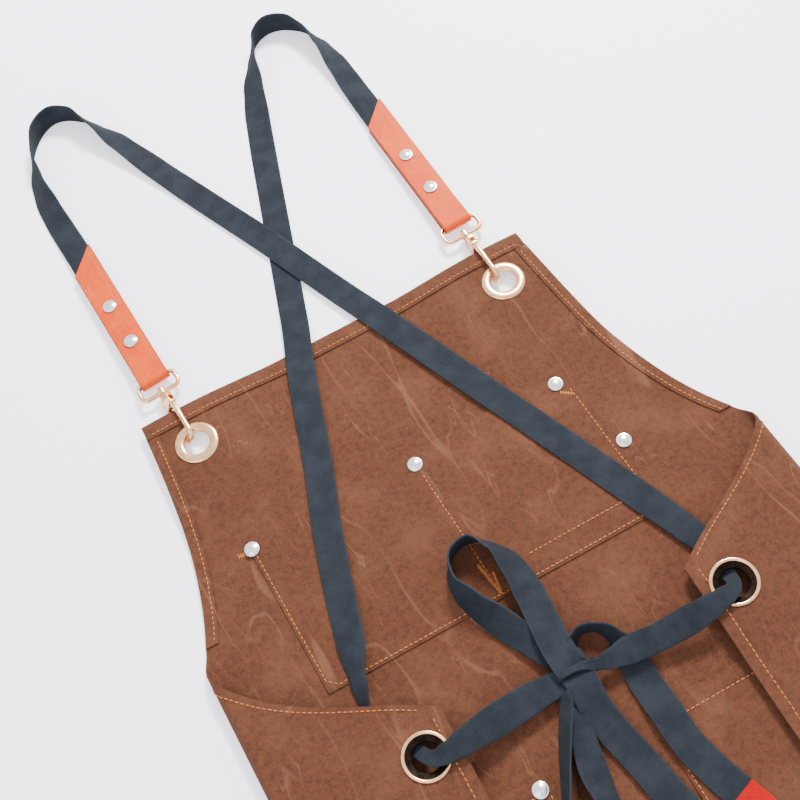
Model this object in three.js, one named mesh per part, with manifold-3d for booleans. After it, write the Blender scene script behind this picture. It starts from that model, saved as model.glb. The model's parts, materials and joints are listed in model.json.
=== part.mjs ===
// A cross-back canvas apron, laid face up with its side wings folded over the front and its ties in a bow.
// Millimetres, +Z up, +Y towards the bib. Pattern coordinates (u, v) are measured on the flat, unfolded cloth:
// u across from the apron's middle line, v along it from the bib's top edge, negative towards the skirt.
import * as THREE from "three";
import { mergeVertices } from "three/addons/utils/BufferGeometryUtils.js";
import Module from "manifold-3d";

// ---- driving dimensions -------------------------------------------------------------------------
const GAP = 0.3; // between pieces that touch
const APRON_LENGTH = 760;
const BIB_HALF_WIDTH = 150;
const SKIRT_HALF_WIDTH = 307;
const ARMHOLE_DEPTH = 271;
const ARMHOLE_FLARE = 64; // how far in from the skirt's corner the armhole's last bend is steered
const CLOTH_THICKNESS = 1.2;
const CLOTH_BASE = 1.0; // the back washers and rivet heads hold the cloth this far off the table
const LAID_SKEW = 0.045; // the laid cloth leans to the right by this much per unit of length, down to the armhole's end
const FOLD_RADIUS = 5.5;
const LEFT_FOLD_U = 180; // where each wing starts to bend over
const RIGHT_FOLD_U = 195;
const WING_DROOP = THREE.MathUtils.degToRad(2); // the folded wings slope down to their free edges
const HEM_WIDTH = 12;
const HEM_THICKNESS = 0.8;
const SIDE_HEM_WIDTH = 9;

const EYELET_HOLE_RADIUS = 9;
const EYELET_RADIUS = 15.5;
const EYELET_RIM = 1.2;
const EYELET_WALL = 0.7;
const WASHER_RADIUS = 14.5;
const WASHER_THICKNESS = 0.7;
const BIB_EYELET_U = 121;
const BIB_EYELET_V = -31;
const WAIST_EYELET_U = 286;
const WAIST_EYELET_V = -293;
const BIB_LEVEL = 20; // the cloth is level this far round a bib eyelet
const WAIST_LEVEL = 17; // and this far round a waist eyelet
const BIB_LIFT = 6; // how far each snap hook lifts the bib's corner
const WAIST_LIFT = 2.5; // how far each tie lifts its wing

const POCKET_THICKNESS = 1.0;
const CHEST_POCKET = { left: -125, right: 116, top: -111, bottom: -229 };
const LOWER_POCKET = { inner: 36, outer: 165, top: -332, bottom: -520 };

const RIVET_HEAD_RADIUS = 5.2;
const RIVET_HEAD_HEIGHT = 1.9;
const RIVET_POST_RADIUS = 1.5;
const RIVET_BASE_RADIUS = 4.6;
const RIVET_BASE_HEIGHT = 0.6;

const LEATHER_THICKNESS = 2.0;
const TAB_WIDTH = 22;
const TAB_LENGTH = 126; // from the ring's bar to the middle of the slanted end
const TAB_SLANT = 22; // how much longer one edge of the slanted end is
const TAB_SLOT = 2.0; // between the two leather layers
const TAB_RIVETS = [37, 74]; // distances from the ring's bar

const RING_WIRE = 3.2;
const RING_WIDTH = 32; // outside
const RING_HEIGHT = 13; // between the middles of the long bars
const EYE_RADIUS = 3.6;
const EYE_LENGTH = 5;
const STUD_RADIUS = 1.4;
const STUD_HEAD_RADIUS = 2.7;
const HOOK_WIRE = 4.0;
const HOOK_HALF_GAP = 5.5; // from the clasp's axis to the middle of each leg
const HOOK_BODY_LENGTH = 13;
const HOOK_LENGTH = 44.5; // from the ring's eye to the middle of the wire at the bend
const GATE_THICKNESS = 2.2;
const GATE_PIN_RADIUS = 0.8;
const CLASP_CLEARANCE = 0.35;

const WEBBING_WIDTH = 20;
const WEBBING_THICKNESS = 1.4;
const TIP_LENGTH = 24;

// ---- colours ------------------------------------------------------------------------------------
const CANVAS = { color: 0x966950, roughness: 0.85, metalness: 0 };
const WEBBING = { color: 0x3c464e, roughness: 0.9, metalness: 0 };
const LEATHER = { color: 0xf0915f, roughness: 0.5, metalness: 0 };
const GOLD = { color: 0xe8cfae, roughness: 0.25, metalness: 1 };
const SILVER = { color: 0xe6e4de, roughness: 0.2, metalness: 1 };
const RED_TIP = { color: 0xe13237, roughness: 0.6, metalness: 0 };

const wasm = await Module();
wasm.setup();

const apron = new THREE.Group();

function addMesh(name, geometry, finish, parent = apron) {
  const mesh = new THREE.Mesh(geometry, new THREE.MeshStandardMaterial(finish));
  mesh.name = name;
  parent.add(mesh);
  return mesh;
}

// ---- solids: joining and cutting ----------------------------------------------------------------
function toSolid(geometry) {
  const plain = geometry.index ? geometry.toNonIndexed() : geometry.clone();
  plain.deleteAttribute("normal");
  plain.deleteAttribute("uv");
  const merged = mergeVertices(plain, 1e-4);
  return new wasm.Manifold(
    new wasm.Mesh({
      numProp: 3,
      vertProperties: merged.attributes.position.array,
      triVerts: new Uint32Array(merged.index.array),
    }),
  );
}

function toGeometry(solid) {
  const mesh = solid.getMesh();
  const geometry = new THREE.BufferGeometry();
  geometry.setAttribute("position", new THREE.BufferAttribute(mesh.vertProperties, 3));
  geometry.setIndex(new THREE.BufferAttribute(mesh.triVerts, 1));
  geometry.computeVertexNormals();
  return geometry;
}

function cut(geometry, tools) {
  return toGeometry(tools.reduce((solid, tool) => solid.subtract(toSolid(tool)), toSolid(geometry)));
}

function join(geometries) {
  return toGeometry(geometries.map(toSolid).reduce((whole, piece) => whole.add(piece)));
}

// ---- how the cloth lies -------------------------------------------------------------------------
// How high the hardware lifts the cloth near a pattern point: level under the eyelet, fading out around it.
function liftAt(u, v) {
  const side = Math.abs(u);
  const fromBib = Math.hypot(side - BIB_EYELET_U, v - BIB_EYELET_V);
  const fromWaist = Math.hypot(side - WAIST_EYELET_U, v - WAIST_EYELET_V);
  const bib = BIB_LIFT * (1 - THREE.MathUtils.smoothstep(fromBib, BIB_LEVEL, 85));
  const waist = WAIST_LIFT * (1 - THREE.MathUtils.smoothstep(fromWaist, WAIST_LEVEL, 55));
  return bib + waist;
}

// The laid place of the pattern point (u, v), at the height `above` the middle of the cloth on its front side.
function lay(u, v, above) {
  const side = Math.sign(u) || 1;
  const foldStart = side < 0 ? LEFT_FOLD_U : RIGHT_FOLD_U;
  const middle = CLOTH_BASE + CLOTH_THICKNESS / 2;
  const skew = LAID_SKEW * Math.min(-v, ARMHOLE_DEPTH);
  const past = Math.abs(u) - foldStart;
  const turned = THREE.MathUtils.clamp(past / FOLD_RADIUS, 0, Math.PI + WING_DROOP);
  const beyond = past - FOLD_RADIUS * turned;
  const reach = FOLD_RADIUS * Math.sin(turned) + beyond * Math.cos(turned);
  const rise = FOLD_RADIUS * (1 - Math.cos(turned)) + beyond * Math.sin(turned);
  const x = foldStart + reach - above * Math.sin(turned);
  const z = middle + (past > 0 ? rise : 0) + above * Math.cos(turned) + liftAt(u, v);
  return new THREE.Vector3(side * x + skew, v, z);
}

// A closed solid from a grid of pattern points, between two heights on the cloth's front side.
function clothSolid(rows, low, high) {
  const corners = [];
  const faces = [];
  const ni = rows.length;
  const nj = rows[0].length;
  for (const height of [low, high])
    for (const row of rows) for (const [u, v] of row) corners.push(...lay(u, v, height));
  const at = (layer, i, j) => layer * ni * nj + i * nj + j;
  const quad = (a, b, c, d) => faces.push(a, b, c, a, c, d);
  for (let i = 0; i + 1 < ni; i++)
    for (let j = 0; j + 1 < nj; j++) {
      quad(at(1, i, j), at(1, i + 1, j), at(1, i + 1, j + 1), at(1, i, j + 1));
      quad(at(0, i, j), at(0, i, j + 1), at(0, i + 1, j + 1), at(0, i + 1, j));
    }
  for (let i = 0; i + 1 < ni; i++) {
    quad(at(0, i, 0), at(0, i + 1, 0), at(1, i + 1, 0), at(1, i, 0));
    quad(at(0, i + 1, nj - 1), at(0, i, nj - 1), at(1, i, nj - 1), at(1, i + 1, nj - 1));
  }
  for (let j = 0; j + 1 < nj; j++) {
    quad(at(0, 0, j + 1), at(0, 0, j), at(1, 0, j), at(1, 0, j + 1));
    quad(at(0, ni - 1, j), at(0, ni - 1, j + 1), at(1, ni - 1, j + 1), at(1, ni - 1, j));
  }
  return closedGeometry(corners, faces);
}

// Merges coinciding corners and drops the faces that this leaves without area.
function closedGeometry(corners, faces) {
  const geometry = new THREE.BufferGeometry();
  geometry.setAttribute("position", new THREE.Float32BufferAttribute(corners, 3));
  geometry.setIndex(faces);
  const merged = mergeVertices(geometry, 1e-4);
  const index = [...merged.index.array];
  const kept = [];
  for (let i = 0; i < index.length; i += 3) {
    const [a, b, c] = index.slice(i, i + 3);
    if (a !== b && b !== c && c !== a) kept.push(a, b, c);
  }
  merged.setIndex(kept);
  return merged;
}

function spread(from, to, steps) {
  return Array.from({ length: steps + 1 }, (_, i) => from + ((to - from) * i) / steps);
}

// Half the pattern's width at each depth: a curved armhole from the bib's corner to the skirt's corner.
const armholePoints = new THREE.CubicBezierCurve3(
  new THREE.Vector3(BIB_HALF_WIDTH, 0, 0),
  new THREE.Vector3(BIB_HALF_WIDTH + 8, -ARMHOLE_DEPTH * 0.88, 0),
  new THREE.Vector3(SKIRT_HALF_WIDTH - ARMHOLE_FLARE, -ARMHOLE_DEPTH * 0.83, 0),
  new THREE.Vector3(SKIRT_HALF_WIDTH, -ARMHOLE_DEPTH, 0),
).getPoints(300);
function armholeAt(v) {
  const k = Math.max(1, armholePoints.findIndex((p) => p.y <= v + 1e-6));
  const [before, after] = armholePoints.slice(k - 1, k + 1);
  const share = (v - before.y) / (after.y - before.y);
  return THREE.MathUtils.lerp(before.x, after.x, share);
}

// Depths of the rows that the panel and its bindings share down to the armhole's end.
const armholeRows = [
  0,
  -HEM_WIDTH,
  BIB_EYELET_V,
  BIB_EYELET_V - BIB_LEVEL,
  ...spread(-66, -174, 7),
  ...spread(-184, -ARMHOLE_DEPTH, 10),
];

// Columns of the bib, closer together where its corners are lifted.
const bibColumns = [
  ...spread(0, BIB_EYELET_U - BIB_LEVEL, 6).slice(1),
  BIB_EYELET_U,
  BIB_EYELET_U + BIB_LEVEL,
];
const bothSides = (columns) => [...columns.map((u) => -u).reverse(), 0, ...columns];

function panelRows() {
  const bendSteps = 8;
  const bendEnd = FOLD_RADIUS * (Math.PI + WING_DROOP);
  const columns = (foldStart) => [
    ...bibColumns,
    ...spread(foldStart, foldStart + bendEnd, bendSteps),
    ...spread(foldStart + bendEnd, WAIST_EYELET_U - WAIST_LEVEL, 3).slice(1),
    WAIST_EYELET_U + WAIST_LEVEL,
    SKIRT_HALF_WIDTH,
  ];
  const left = columns(LEFT_FOLD_U).map((u) => -u);
  const across = [...left.reverse(), 0, ...columns(RIGHT_FOLD_U)];
  const eyeletRows = [WAIST_EYELET_V + WAIST_LEVEL, WAIST_EYELET_V - WAIST_LEVEL];
  const skirt = [...eyeletRows, ...spread(WAIST_EYELET_V - 60, -APRON_LENGTH, 7)];
  const rows = [
    ...armholeRows.map((v) => [armholeAt(v), v]),
    ...skirt.map((v) => [SKIRT_HALF_WIDTH, v]),
  ];
  return rows.map(([half, v]) => across.map((u) => [THREE.MathUtils.clamp(u, -half, half), v]));
}

// ---- hardware on the cloth ----------------------------------------------------------------------
// A frame that stands on the cloth at (u, v), with its z along the cloth's front side.
function clothFrame(u, v) {
  const frame = new THREE.Group();
  const origin = lay(u, v, 0);
  const along = lay(u + 1, v, 0).sub(origin);
  const down = lay(u, v - 1, 0).sub(origin);
  const normal = new THREE.Vector3().crossVectors(down, along).normalize();
  const y = down.negate().normalize();
  const x = new THREE.Vector3().crossVectors(y, normal).normalize();
  frame.matrix.makeBasis(x, new THREE.Vector3().crossVectors(normal, x), normal).setPosition(origin);
  frame.matrix.decompose(frame.position, frame.quaternion, frame.scale);
  frame.updateMatrix();
  return frame;
}

function lathe(profile, sides) {
  const points = profile.map(([r, z]) => new THREE.Vector2(r, z));
  return new THREE.LatheGeometry(points, sides).rotateX(Math.PI / 2);
}

function postHole(frame, radius, sides = 20, length = 12) {
  return new THREE.CylinderGeometry(radius, radius, length, sides).rotateX(Math.PI / 2).applyMatrix4(frame.matrix);
}

const HALF_CLOTH = CLOTH_THICKNESS / 2;

// The eyelet's rim lies on the side that is seen: the front at the bib, the back on the folded wings.
function eyelet(name, u, v, side) {
  const frame = clothFrame(u, v);
  apron.add(frame);
  const seat = HALF_CLOTH + GAP;
  const rim = [
    [EYELET_HOLE_RADIUS, -seat - WASHER_THICKNESS],
    [EYELET_HOLE_RADIUS + EYELET_WALL, -seat - WASHER_THICKNESS],
    [EYELET_HOLE_RADIUS + EYELET_WALL, seat],
    [EYELET_RADIUS - 0.6, seat],
    [EYELET_RADIUS, seat + EYELET_RIM * 0.3],
    [EYELET_RADIUS - 2, seat + EYELET_RIM],
    [EYELET_HOLE_RADIUS + 1.6, seat + EYELET_RIM],
    [EYELET_HOLE_RADIUS, seat + EYELET_RIM * 0.4],
    [EYELET_HOLE_RADIUS, -seat - WASHER_THICKNESS],
  ];
  const washerInner = EYELET_HOLE_RADIUS + EYELET_WALL + GAP;
  const washer = [
    [washerInner, -seat - WASHER_THICKNESS],
    [WASHER_RADIUS, -seat - WASHER_THICKNESS],
    [WASHER_RADIUS, -seat],
    [washerInner, -seat],
    [washerInner, -seat - WASHER_THICKNESS],
  ];
  const turn = side > 0 ? 0 : Math.PI;
  addMesh(`${name}_eyelet`, lathe(rim, 28), GOLD, frame).rotation.x = turn;
  addMesh(`${name}_washer`, lathe(washer, 24), GOLD, frame).rotation.x = turn;
  return frame;
}

// A capped rivet through everything between the heights bottom and top.
function rivet(name, frame, top, bottom, finish = SILVER) {
  const head = top + GAP;
  const base = bottom - GAP;
  const profile = [
    [0, base - RIVET_BASE_HEIGHT],
    [RIVET_BASE_RADIUS, base - RIVET_BASE_HEIGHT],
    [RIVET_BASE_RADIUS, base],
    [RIVET_POST_RADIUS, base],
    [RIVET_POST_RADIUS, head],
    [RIVET_HEAD_RADIUS, head],
    [RIVET_HEAD_RADIUS * 0.9, head + RIVET_HEAD_HEIGHT * 0.55],
    [RIVET_HEAD_RADIUS * 0.55, head + RIVET_HEAD_HEIGHT * 0.9],
    [0, head + RIVET_HEAD_HEIGHT],
  ];
  addMesh(name, lathe(profile, 16), finish, frame);
}

// ---- cloth pieces -------------------------------------------------------------------------------
const POCKET_LOW = HALF_CLOTH + GAP;
const POCKET_HIGH = POCKET_LOW + POCKET_THICKNESS;

const pocketRivets = [
  ["chest_rivet_left", -123.5, -119],
  ["chest_rivet_middle", -2.5, -121],
  ["chest_rivet_right", 107.5, -118],
  ["lower_rivet_left_inner", -42, -340],
  ["lower_rivet_right_inner", 42, -340],
  ["lower_rivet_left_outer", -159, -340],
  ["lower_rivet_right_outer", 159, -340],
];
const sideRivet = ["side_rivet", 122, -176]; // stands on the cloth alone, beside the chest pocket

const HOLE_AROUND_POST = RIVET_POST_RADIUS + GAP;
const pocketRivetFrames = pocketRivets.map(([, u, v]) => clothFrame(u, v));
const sideRivetFrame = clothFrame(sideRivet[1], sideRivet[2]);

const eyelets = [
  ["bib_left", -BIB_EYELET_U, BIB_EYELET_V, 1],
  ["bib_right", BIB_EYELET_U, BIB_EYELET_V, 1],
  ["waist_left", -WAIST_EYELET_U, WAIST_EYELET_V, -1],
  ["waist_right", WAIST_EYELET_U, WAIST_EYELET_V, -1],
];
const eyeletFrames = eyelets.map(([name, u, v, side]) => eyelet(name, u, v, side));

const clothHoles = [
  ...eyeletFrames.map((frame) => postHole(frame, EYELET_HOLE_RADIUS + EYELET_WALL + GAP, 24, 6)),
  ...pocketRivetFrames.map((frame) => postHole(frame, HOLE_AROUND_POST, 8)),
  postHole(sideRivetFrame, HOLE_AROUND_POST, 8),
];
addMesh("apron_panel", cut(clothSolid(panelRows(), -HALF_CLOTH, HALF_CLOTH), clothHoles), CANVAS);

const HEM_LOW = HALF_CLOTH + 1.5 * GAP; // the curved bindings follow the cloth less closely
const hemColumns = bothSides([...bibColumns, BIB_HALF_WIDTH]);
const hemRows = [0, -HEM_WIDTH].map((v) => hemColumns.map((u) => [u, v]));
addMesh("top_hem", clothSolid(hemRows, HEM_LOW, HEM_LOW + HEM_THICKNESS), CANVAS);

// The binding of each armhole, from under the top hem to where the wing bends over.
function armholeHem(name, side) {
  const foldStart = side < 0 ? LEFT_FOLD_U : RIGHT_FOLD_U;
  const depths = [-HEM_WIDTH - 2 * GAP, ...armholeRows.slice(2)].filter((v) => armholeAt(v) < foldStart);
  const edge = depths.map((v) => [side * armholeAt(v), v]);
  const inner = depths.map((v) => [side * (armholeAt(v) - SIDE_HEM_WIDTH), v]);
  const rows = side > 0 ? [inner, edge] : [edge, inner];
  const columns = edge.map((_, i) => rows.map((row) => row[i]));
  addMesh(name, clothSolid(columns, HEM_LOW, HEM_LOW + HEM_THICKNESS), CANVAS);
}
armholeHem("armhole_hem_left", -1);
armholeHem("armhole_hem_right", 1);

function pocket(name, left, right, top, bottom, rivetFrames) {
  const rows = spread(top, bottom, 4).map((v) => spread(left, right, 6).map((u) => [u, v]));
  const holes = rivetFrames.map((frame) => postHole(frame, HOLE_AROUND_POST, 8));
  addMesh(name, cut(clothSolid(rows, POCKET_LOW, POCKET_HIGH), holes), CANVAS);
}
const { inner, outer, top: lowerTop, bottom: lowerBottom } = LOWER_POCKET;
const chestFrames = pocketRivetFrames.slice(0, 3);
pocket(
  "chest_pocket",
  CHEST_POCKET.left,
  CHEST_POCKET.right,
  CHEST_POCKET.top,
  CHEST_POCKET.bottom,
  chestFrames,
);
pocket("lower_pocket_left", -outer, -inner, lowerTop, lowerBottom, [pocketRivetFrames[3], pocketRivetFrames[5]]);
pocket("lower_pocket_right", inner, outer, lowerTop, lowerBottom, [pocketRivetFrames[4], pocketRivetFrames[6]]);

pocketRivets.forEach(([name], i) => {
  apron.add(pocketRivetFrames[i]);
  rivet(name, pocketRivetFrames[i], POCKET_HIGH, -HALF_CLOTH);
});
apron.add(sideRivetFrame);
rivet(sideRivet[0], sideRivetFrame, HALF_CLOTH, -HALF_CLOTH);

// ---- webbing ------------------------------------------------------------------------------------
// A flat band along a route of [x, y, lowest z, lean, width]. Lean turns its face from up, in degrees,
// to the right of the way it runs, or to the left when negative.
function band(route, steps) {
  const middles = route.map(([x, y, low, lean, width]) => {
    const turn = THREE.MathUtils.degToRad(lean);
    const lift = (Math.abs(Math.sin(turn)) * width + Math.abs(Math.cos(turn)) * WEBBING_THICKNESS) / 2;
    return new THREE.Vector3(x, y, low + lift);
  });
  const curve = new THREE.CatmullRomCurve3(middles, false, "centripetal");
  const corners = [];
  for (let i = 0; i <= steps; i++) {
    const place = (i / steps) * (route.length - 1);
    const k = Math.min(Math.floor(place), route.length - 2);
    const between = (field) => THREE.MathUtils.lerp(route[k][field], route[k + 1][field], place - k);
    const centre = curve.getPoint(i / steps);
    const ahead = curve.getTangent(i / steps);
    const right = new THREE.Vector3().crossVectors(ahead, new THREE.Vector3(0, 0, 1)).normalize();
    const up = new THREE.Vector3().crossVectors(right, ahead);
    const turn = THREE.MathUtils.degToRad(between(3));
    const face = up.clone().multiplyScalar(Math.cos(turn)).addScaledVector(right, Math.sin(turn));
    const across = new THREE.Vector3().crossVectors(ahead, face);
    for (const [a, b] of [[-1, -1], [1, -1], [1, 1], [-1, 1]]) {
      const corner = centre.clone().addScaledVector(across, (a * between(4)) / 2);
      corners.push(...corner.addScaledVector(face, (b * WEBBING_THICKNESS) / 2));
    }
  }
  const faces = [0, 1, 2, 0, 2, 3];
  for (let i = 0; i < steps; i++)
    for (let k = 0; k < 4; k++) {
      const a = i * 4 + k;
      const b = i * 4 + ((k + 1) % 4);
      faces.push(a, b + 4, b, a, a + 4, b + 4);
    }
  const end = steps * 4;
  faces.push(end, end + 2, end + 1, end, end + 3, end + 2);
  return closedGeometry(corners, faces);
}

const W = WEBBING_WIDTH;
// Left shoulder strap: out of the left tab, round its loop, across to the right waist eyelet and to the knot.
const LEFT_STRAP = [
  [-133.9, 112, 4.25, 0, W],
  [-136, 137, 3.45, 0, W],
  [-138.6, 168, 2.4, 0, W],
  [-141, 191, 0.9, -10, W],
  [-143, 216, 0.3, -25, W],
  [-143, 244, 0.3, -50, W],
  [-137, 272, 0.3, -75, W],
  [-126, 292, 0.3, -88, W],
  [-110, 300, 0.3, -90, W],
  [-95, 292, 0.3, -85, W],
  [-83, 272, 0.3, -60, W],
  [-71, 246, 0.3, -28, W],
  [-55, 207, 0.6, -8, W],
  [-37, 164, 1.4, 0, W],
  [-9, 98, 2.3, 0, W],
  [3, 68, 2.3, 0, W],
  [22, 20, 3.2, 0, W],
  [31, -2, 4.2, 0, W],
  [44, -34, 4.4, 0, W],
  [70, -98, 4.0, 0, W],
  [92, -152, 4.2, 0, W],
  [116, -212, 4.4, 0, W],
  [129, -246, 4.4, 4, 18],
  [135, -268, 4.4, 15, 14],
  [134.5, -282, 5.2, 15, 11],
  [134, -288, 8.2, 8, 9],
  [133, -293, 12.4, 0, 9],
  [129, -297, 15.2, -8, 10],
  [120, -299, 16.0, -15, 13],
  [109, -300, 15.4, -20, 16],
  [94, -300, 12.8, -18, 18],
  [74, -299, 10.2, -14, 17],
  [58, -296, 8.2, -8, 14],
  [46, -293, 6.6, 0, 11],
];
// Right shoulder strap: the same from the right tab to the left waist eyelet, under the left strap.
const RIGHT_STRAP = [
  [115.2, 112, 4.25, 0, W],
  [114.3, 137, 3.45, 0, W],
  [113.3, 168, 2.4, 0, W],
  [112.6, 192, 0.9, 8, W],
  [112, 216, 0.3, 22, W],
  [110, 242, 0.3, 48, W],
  [104, 264, 0.3, 72, W],
  [94, 279, 0.3, 86, W],
  [79, 285, 0.3, 90, W],
  [65, 278, 0.3, 84, W],
  [54, 260, 0.3, 62, W],
  [44, 236, 0.3, 30, W],
  [34, 207, 0.3, 8, W],
  [22, 168, 0.3, 0, W],
  [8, 120, 0.3, 0, W],
  [-3, 82, 0.3, 0, W],
  [-14, 44, 0.8, 0, W],
  [-22, 16, 2.8, 0, W],
  [-28, -2, 4.2, 0, W],
  [-37, -30, 4.2, 0, W],
  [-57, -98, 3.6, 0, W],
  [-66, -124, 4.2, 0, W],
  [-78, -166, 4.2, 4, W],
  [-88, -206, 4.2, 14, W],
  [-95, -232, 3.4, 34, 14],
  [-98, -252, 2.6, 44, 7],
  [-92, -272, 2.9, 30, 9],
  [-85, -282, 4.8, 0, 11],
  [-81.5, -288, 8.0, 0, 9],
  [-79, -293, 12.2, 0, 9],
  [-75, -297, 15.0, 8, 10],
  [-66, -298, 15.8, 15, 13],
  [-53, -297, 14.8, 20, 16],
  [-32, -295, 11.4, 16, 18],
  [-12, -293.5, 8.8, 10, 16],
  [4, -293, 6.8, 0, 11],
];
const BOW_LOOP_UPPER = [
  [15, -275, 6.4, 0, 10],
  [8, -262, 4.4, -12, 15],
  [-2, -244, 2.8, -24, W],
  [-11, -224, 4.2, -46, W],
  [-15, -206, 4.2, -74, W],
  [-8, -192, 4.2, -90, W],
  [6, -188, 4.2, -88, W],
  [17, -198, 4.2, -66, W],
  [22, -216, 4.2, -34, W],
  [24, -236, 5.2, -14, W],
  [24, -256, 8.2, -6, 15],
  [24, -275, 9.4, 0, 11],
];
const BOW_LOOP_LOWER = [
  [8, -307, 5.4, 40, 7],
  [-1, -320, 4.2, 64, 14],
  [-15, -344, 4.2, 74, 19],
  [-26, -366, 4.2, 80, W],
  [-27, -384, 4.2, 90, W],
  [-15, -394, 4.2, 90, W],
  [-2, -384, 4.2, 74, W],
  [0, -366, 4.2, 46, W],
  [2, -346, 6.0, 30, 16],
  [9, -324, 6.4, 20, 9],
  [16, -307, 7.6, 0, 7],
];
const TAIL_RIGHT = [
  [44, -280, 2.8, 0, 8],
  [51, -276.5, 2.8, 0, 11],
  [57.5, -284, 2.8, 0, 14],
  [57.5, -298, 2.8, 0, 18],
  [57, -318, 3.2, 0, W],
  [57, -338, 6.2, 0, W],
  [58, -358, 5.2, 0, W],
  [64, -382, 4.2, 0, W],
  [69, -396, 4.2, 0, W],
];
const TAIL_LEFT = [
  [27, -307, 6.4, 0, 8],
  [25, -318, 5.2, 0, 14],
  [25, -332, 4.4, 0, 19],
  [28.5, -350, 4.2, 0, W],
  [34, -378, 4.2, 0, W],
  [40, -404, 4.2, 0, W],
];

// The red end that closes a tail: a short band that goes on from the tail's last stretch.
function tipRoute(tail) {
  const [before, last] = tail.slice(-2);
  const heading = new THREE.Vector2(last[0] - before[0], last[1] - before[1]).normalize();
  return [GAP, TIP_LENGTH].map((along) => [
    last[0] + heading.x * along,
    last[1] + heading.y * along,
    last[2],
    0,
    W,
  ]);
}

addMesh("bow_loop_upper", band(BOW_LOOP_UPPER, 30), WEBBING);
addMesh("bow_loop_lower", band(BOW_LOOP_LOWER, 28), WEBBING);
addMesh("tie_tail_right", band(TAIL_RIGHT, 16), WEBBING);
addMesh("tie_tail_left", band(TAIL_LEFT, 10), WEBBING);
addMesh("tie_tip_right", band(tipRoute(TAIL_RIGHT), 2), RED_TIP);
addMesh("tie_tip_left", band(tipRoute(TAIL_LEFT), 2), RED_TIP);

// The knot: a round-cornered pad that every band of the bow runs up to.
const KNOT = { x: 24.5, y: -291, low: 4.3, length: 37, width: 28, height: 13, corner: 5, bevel: 3 };
function knotGeometry() {
  const halfX = KNOT.length / 2 - KNOT.bevel;
  const halfY = KNOT.width / 2 - KNOT.bevel;
  const shape = new THREE.Shape();
  shape.moveTo(-halfX + KNOT.corner, -halfY);
  shape.lineTo(halfX - KNOT.corner, -halfY);
  shape.quadraticCurveTo(halfX, -halfY, halfX, -halfY + KNOT.corner);
  shape.lineTo(halfX, halfY - KNOT.corner);
  shape.quadraticCurveTo(halfX, halfY, halfX - KNOT.corner, halfY);
  shape.lineTo(-halfX + KNOT.corner, halfY);
  shape.quadraticCurveTo(-halfX, halfY, -halfX, halfY - KNOT.corner);
  shape.lineTo(-halfX, -halfY + KNOT.corner);
  shape.quadraticCurveTo(-halfX, -halfY, -halfX + KNOT.corner, -halfY);
  const pad = new THREE.ExtrudeGeometry(shape, {
    depth: KNOT.height - 2 * KNOT.bevel,
    bevelThickness: KNOT.bevel,
    bevelSize: KNOT.bevel,
    bevelSegments: 2,
    curveSegments: 3,
  });
  return pad.translate(KNOT.x, KNOT.y, KNOT.low + KNOT.bevel);
}
addMesh("bow_knot", knotGeometry(), WEBBING);

// ---- leather tabs and clasps --------------------------------------------------------------------
const CLASP_HEIGHT = CLOTH_BASE + HALF_CLOTH + BIB_LIFT; // the clasp's axis lies level with the lifted cloth
const EYE_Y = BIB_EYELET_V + EYELET_HOLE_RADIUS - 4.5 + HOOK_LENGTH; // the hook's bend lies inside the eyelet
const BAR_Y = EYE_Y + RING_HEIGHT;
const TAB_BASE = 0.5; // the slanted end nearly touches the table
const TAB_INNER = RING_WIRE / 2 + GAP;
const TAB_SLOPE = Math.atan((CLASP_HEIGHT - TAB_BASE - TAB_SLOT / 2 - LEATHER_THICKNESS) / TAB_LENGTH);

// The tab from the side: two layers that meet in a loop round the ring's bar.
function tabGeometry() {
  const outerRadius = TAB_INNER + LEATHER_THICKNESS;
  const throat = 14; // where the loop has closed to the slot's height
  const halfSlot = TAB_SLOT / 2;
  const end = TAB_LENGTH + TAB_SLANT;
  const shape = new THREE.Shape();
  shape.moveTo(end, halfSlot + LEATHER_THICKNESS);
  shape.lineTo(throat, halfSlot + LEATHER_THICKNESS);
  shape.lineTo(0, outerRadius);
  shape.absarc(0, 0, outerRadius, Math.PI / 2, -Math.PI / 2 + 2 * Math.PI, false);
  shape.lineTo(throat, -halfSlot - LEATHER_THICKNESS);
  shape.lineTo(end, -halfSlot - LEATHER_THICKNESS);
  shape.lineTo(end, -halfSlot);
  shape.lineTo(throat, -halfSlot);
  shape.lineTo(0, -TAB_INNER);
  shape.absarc(0, 0, TAB_INNER, -Math.PI / 2, Math.PI / 2, true);
  shape.lineTo(throat, halfSlot);
  shape.lineTo(end, halfSlot);
  const strip = new THREE.ExtrudeGeometry(shape, { depth: TAB_WIDTH, bevelEnabled: false, curveSegments: 8 });
  strip.translate(0, 0, -TAB_WIDTH / 2).rotateX(Math.PI / 2).rotateZ(Math.PI / 2);
  const slant = Math.atan(TAB_SLANT / TAB_WIDTH);
  const blade = new THREE.BoxGeometry(160, 80, 20).translate(0, 40, 0).rotateZ(slant).translate(0, TAB_LENGTH, 0);
  const posts = TAB_RIVETS.map((y) =>
    new THREE.CylinderGeometry(HOLE_AROUND_POST, HOLE_AROUND_POST, 20, 8).rotateX(Math.PI / 2).translate(0, y, 0),
  );
  return cut(strip, [blade, ...posts]);
}

// A round wire along a path in the plane of its frame.
function wire(points, radius, steps, sides) {
  const curve = new THREE.CatmullRomCurve3(points, false, "centripetal");
  const section = new THREE.Shape();
  section.absarc(0, 0, radius, 0, 2 * Math.PI, false);
  return new THREE.ExtrudeGeometry(section, { extrudePath: curve, steps, curveSegments: sides / 2 });
}

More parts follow.
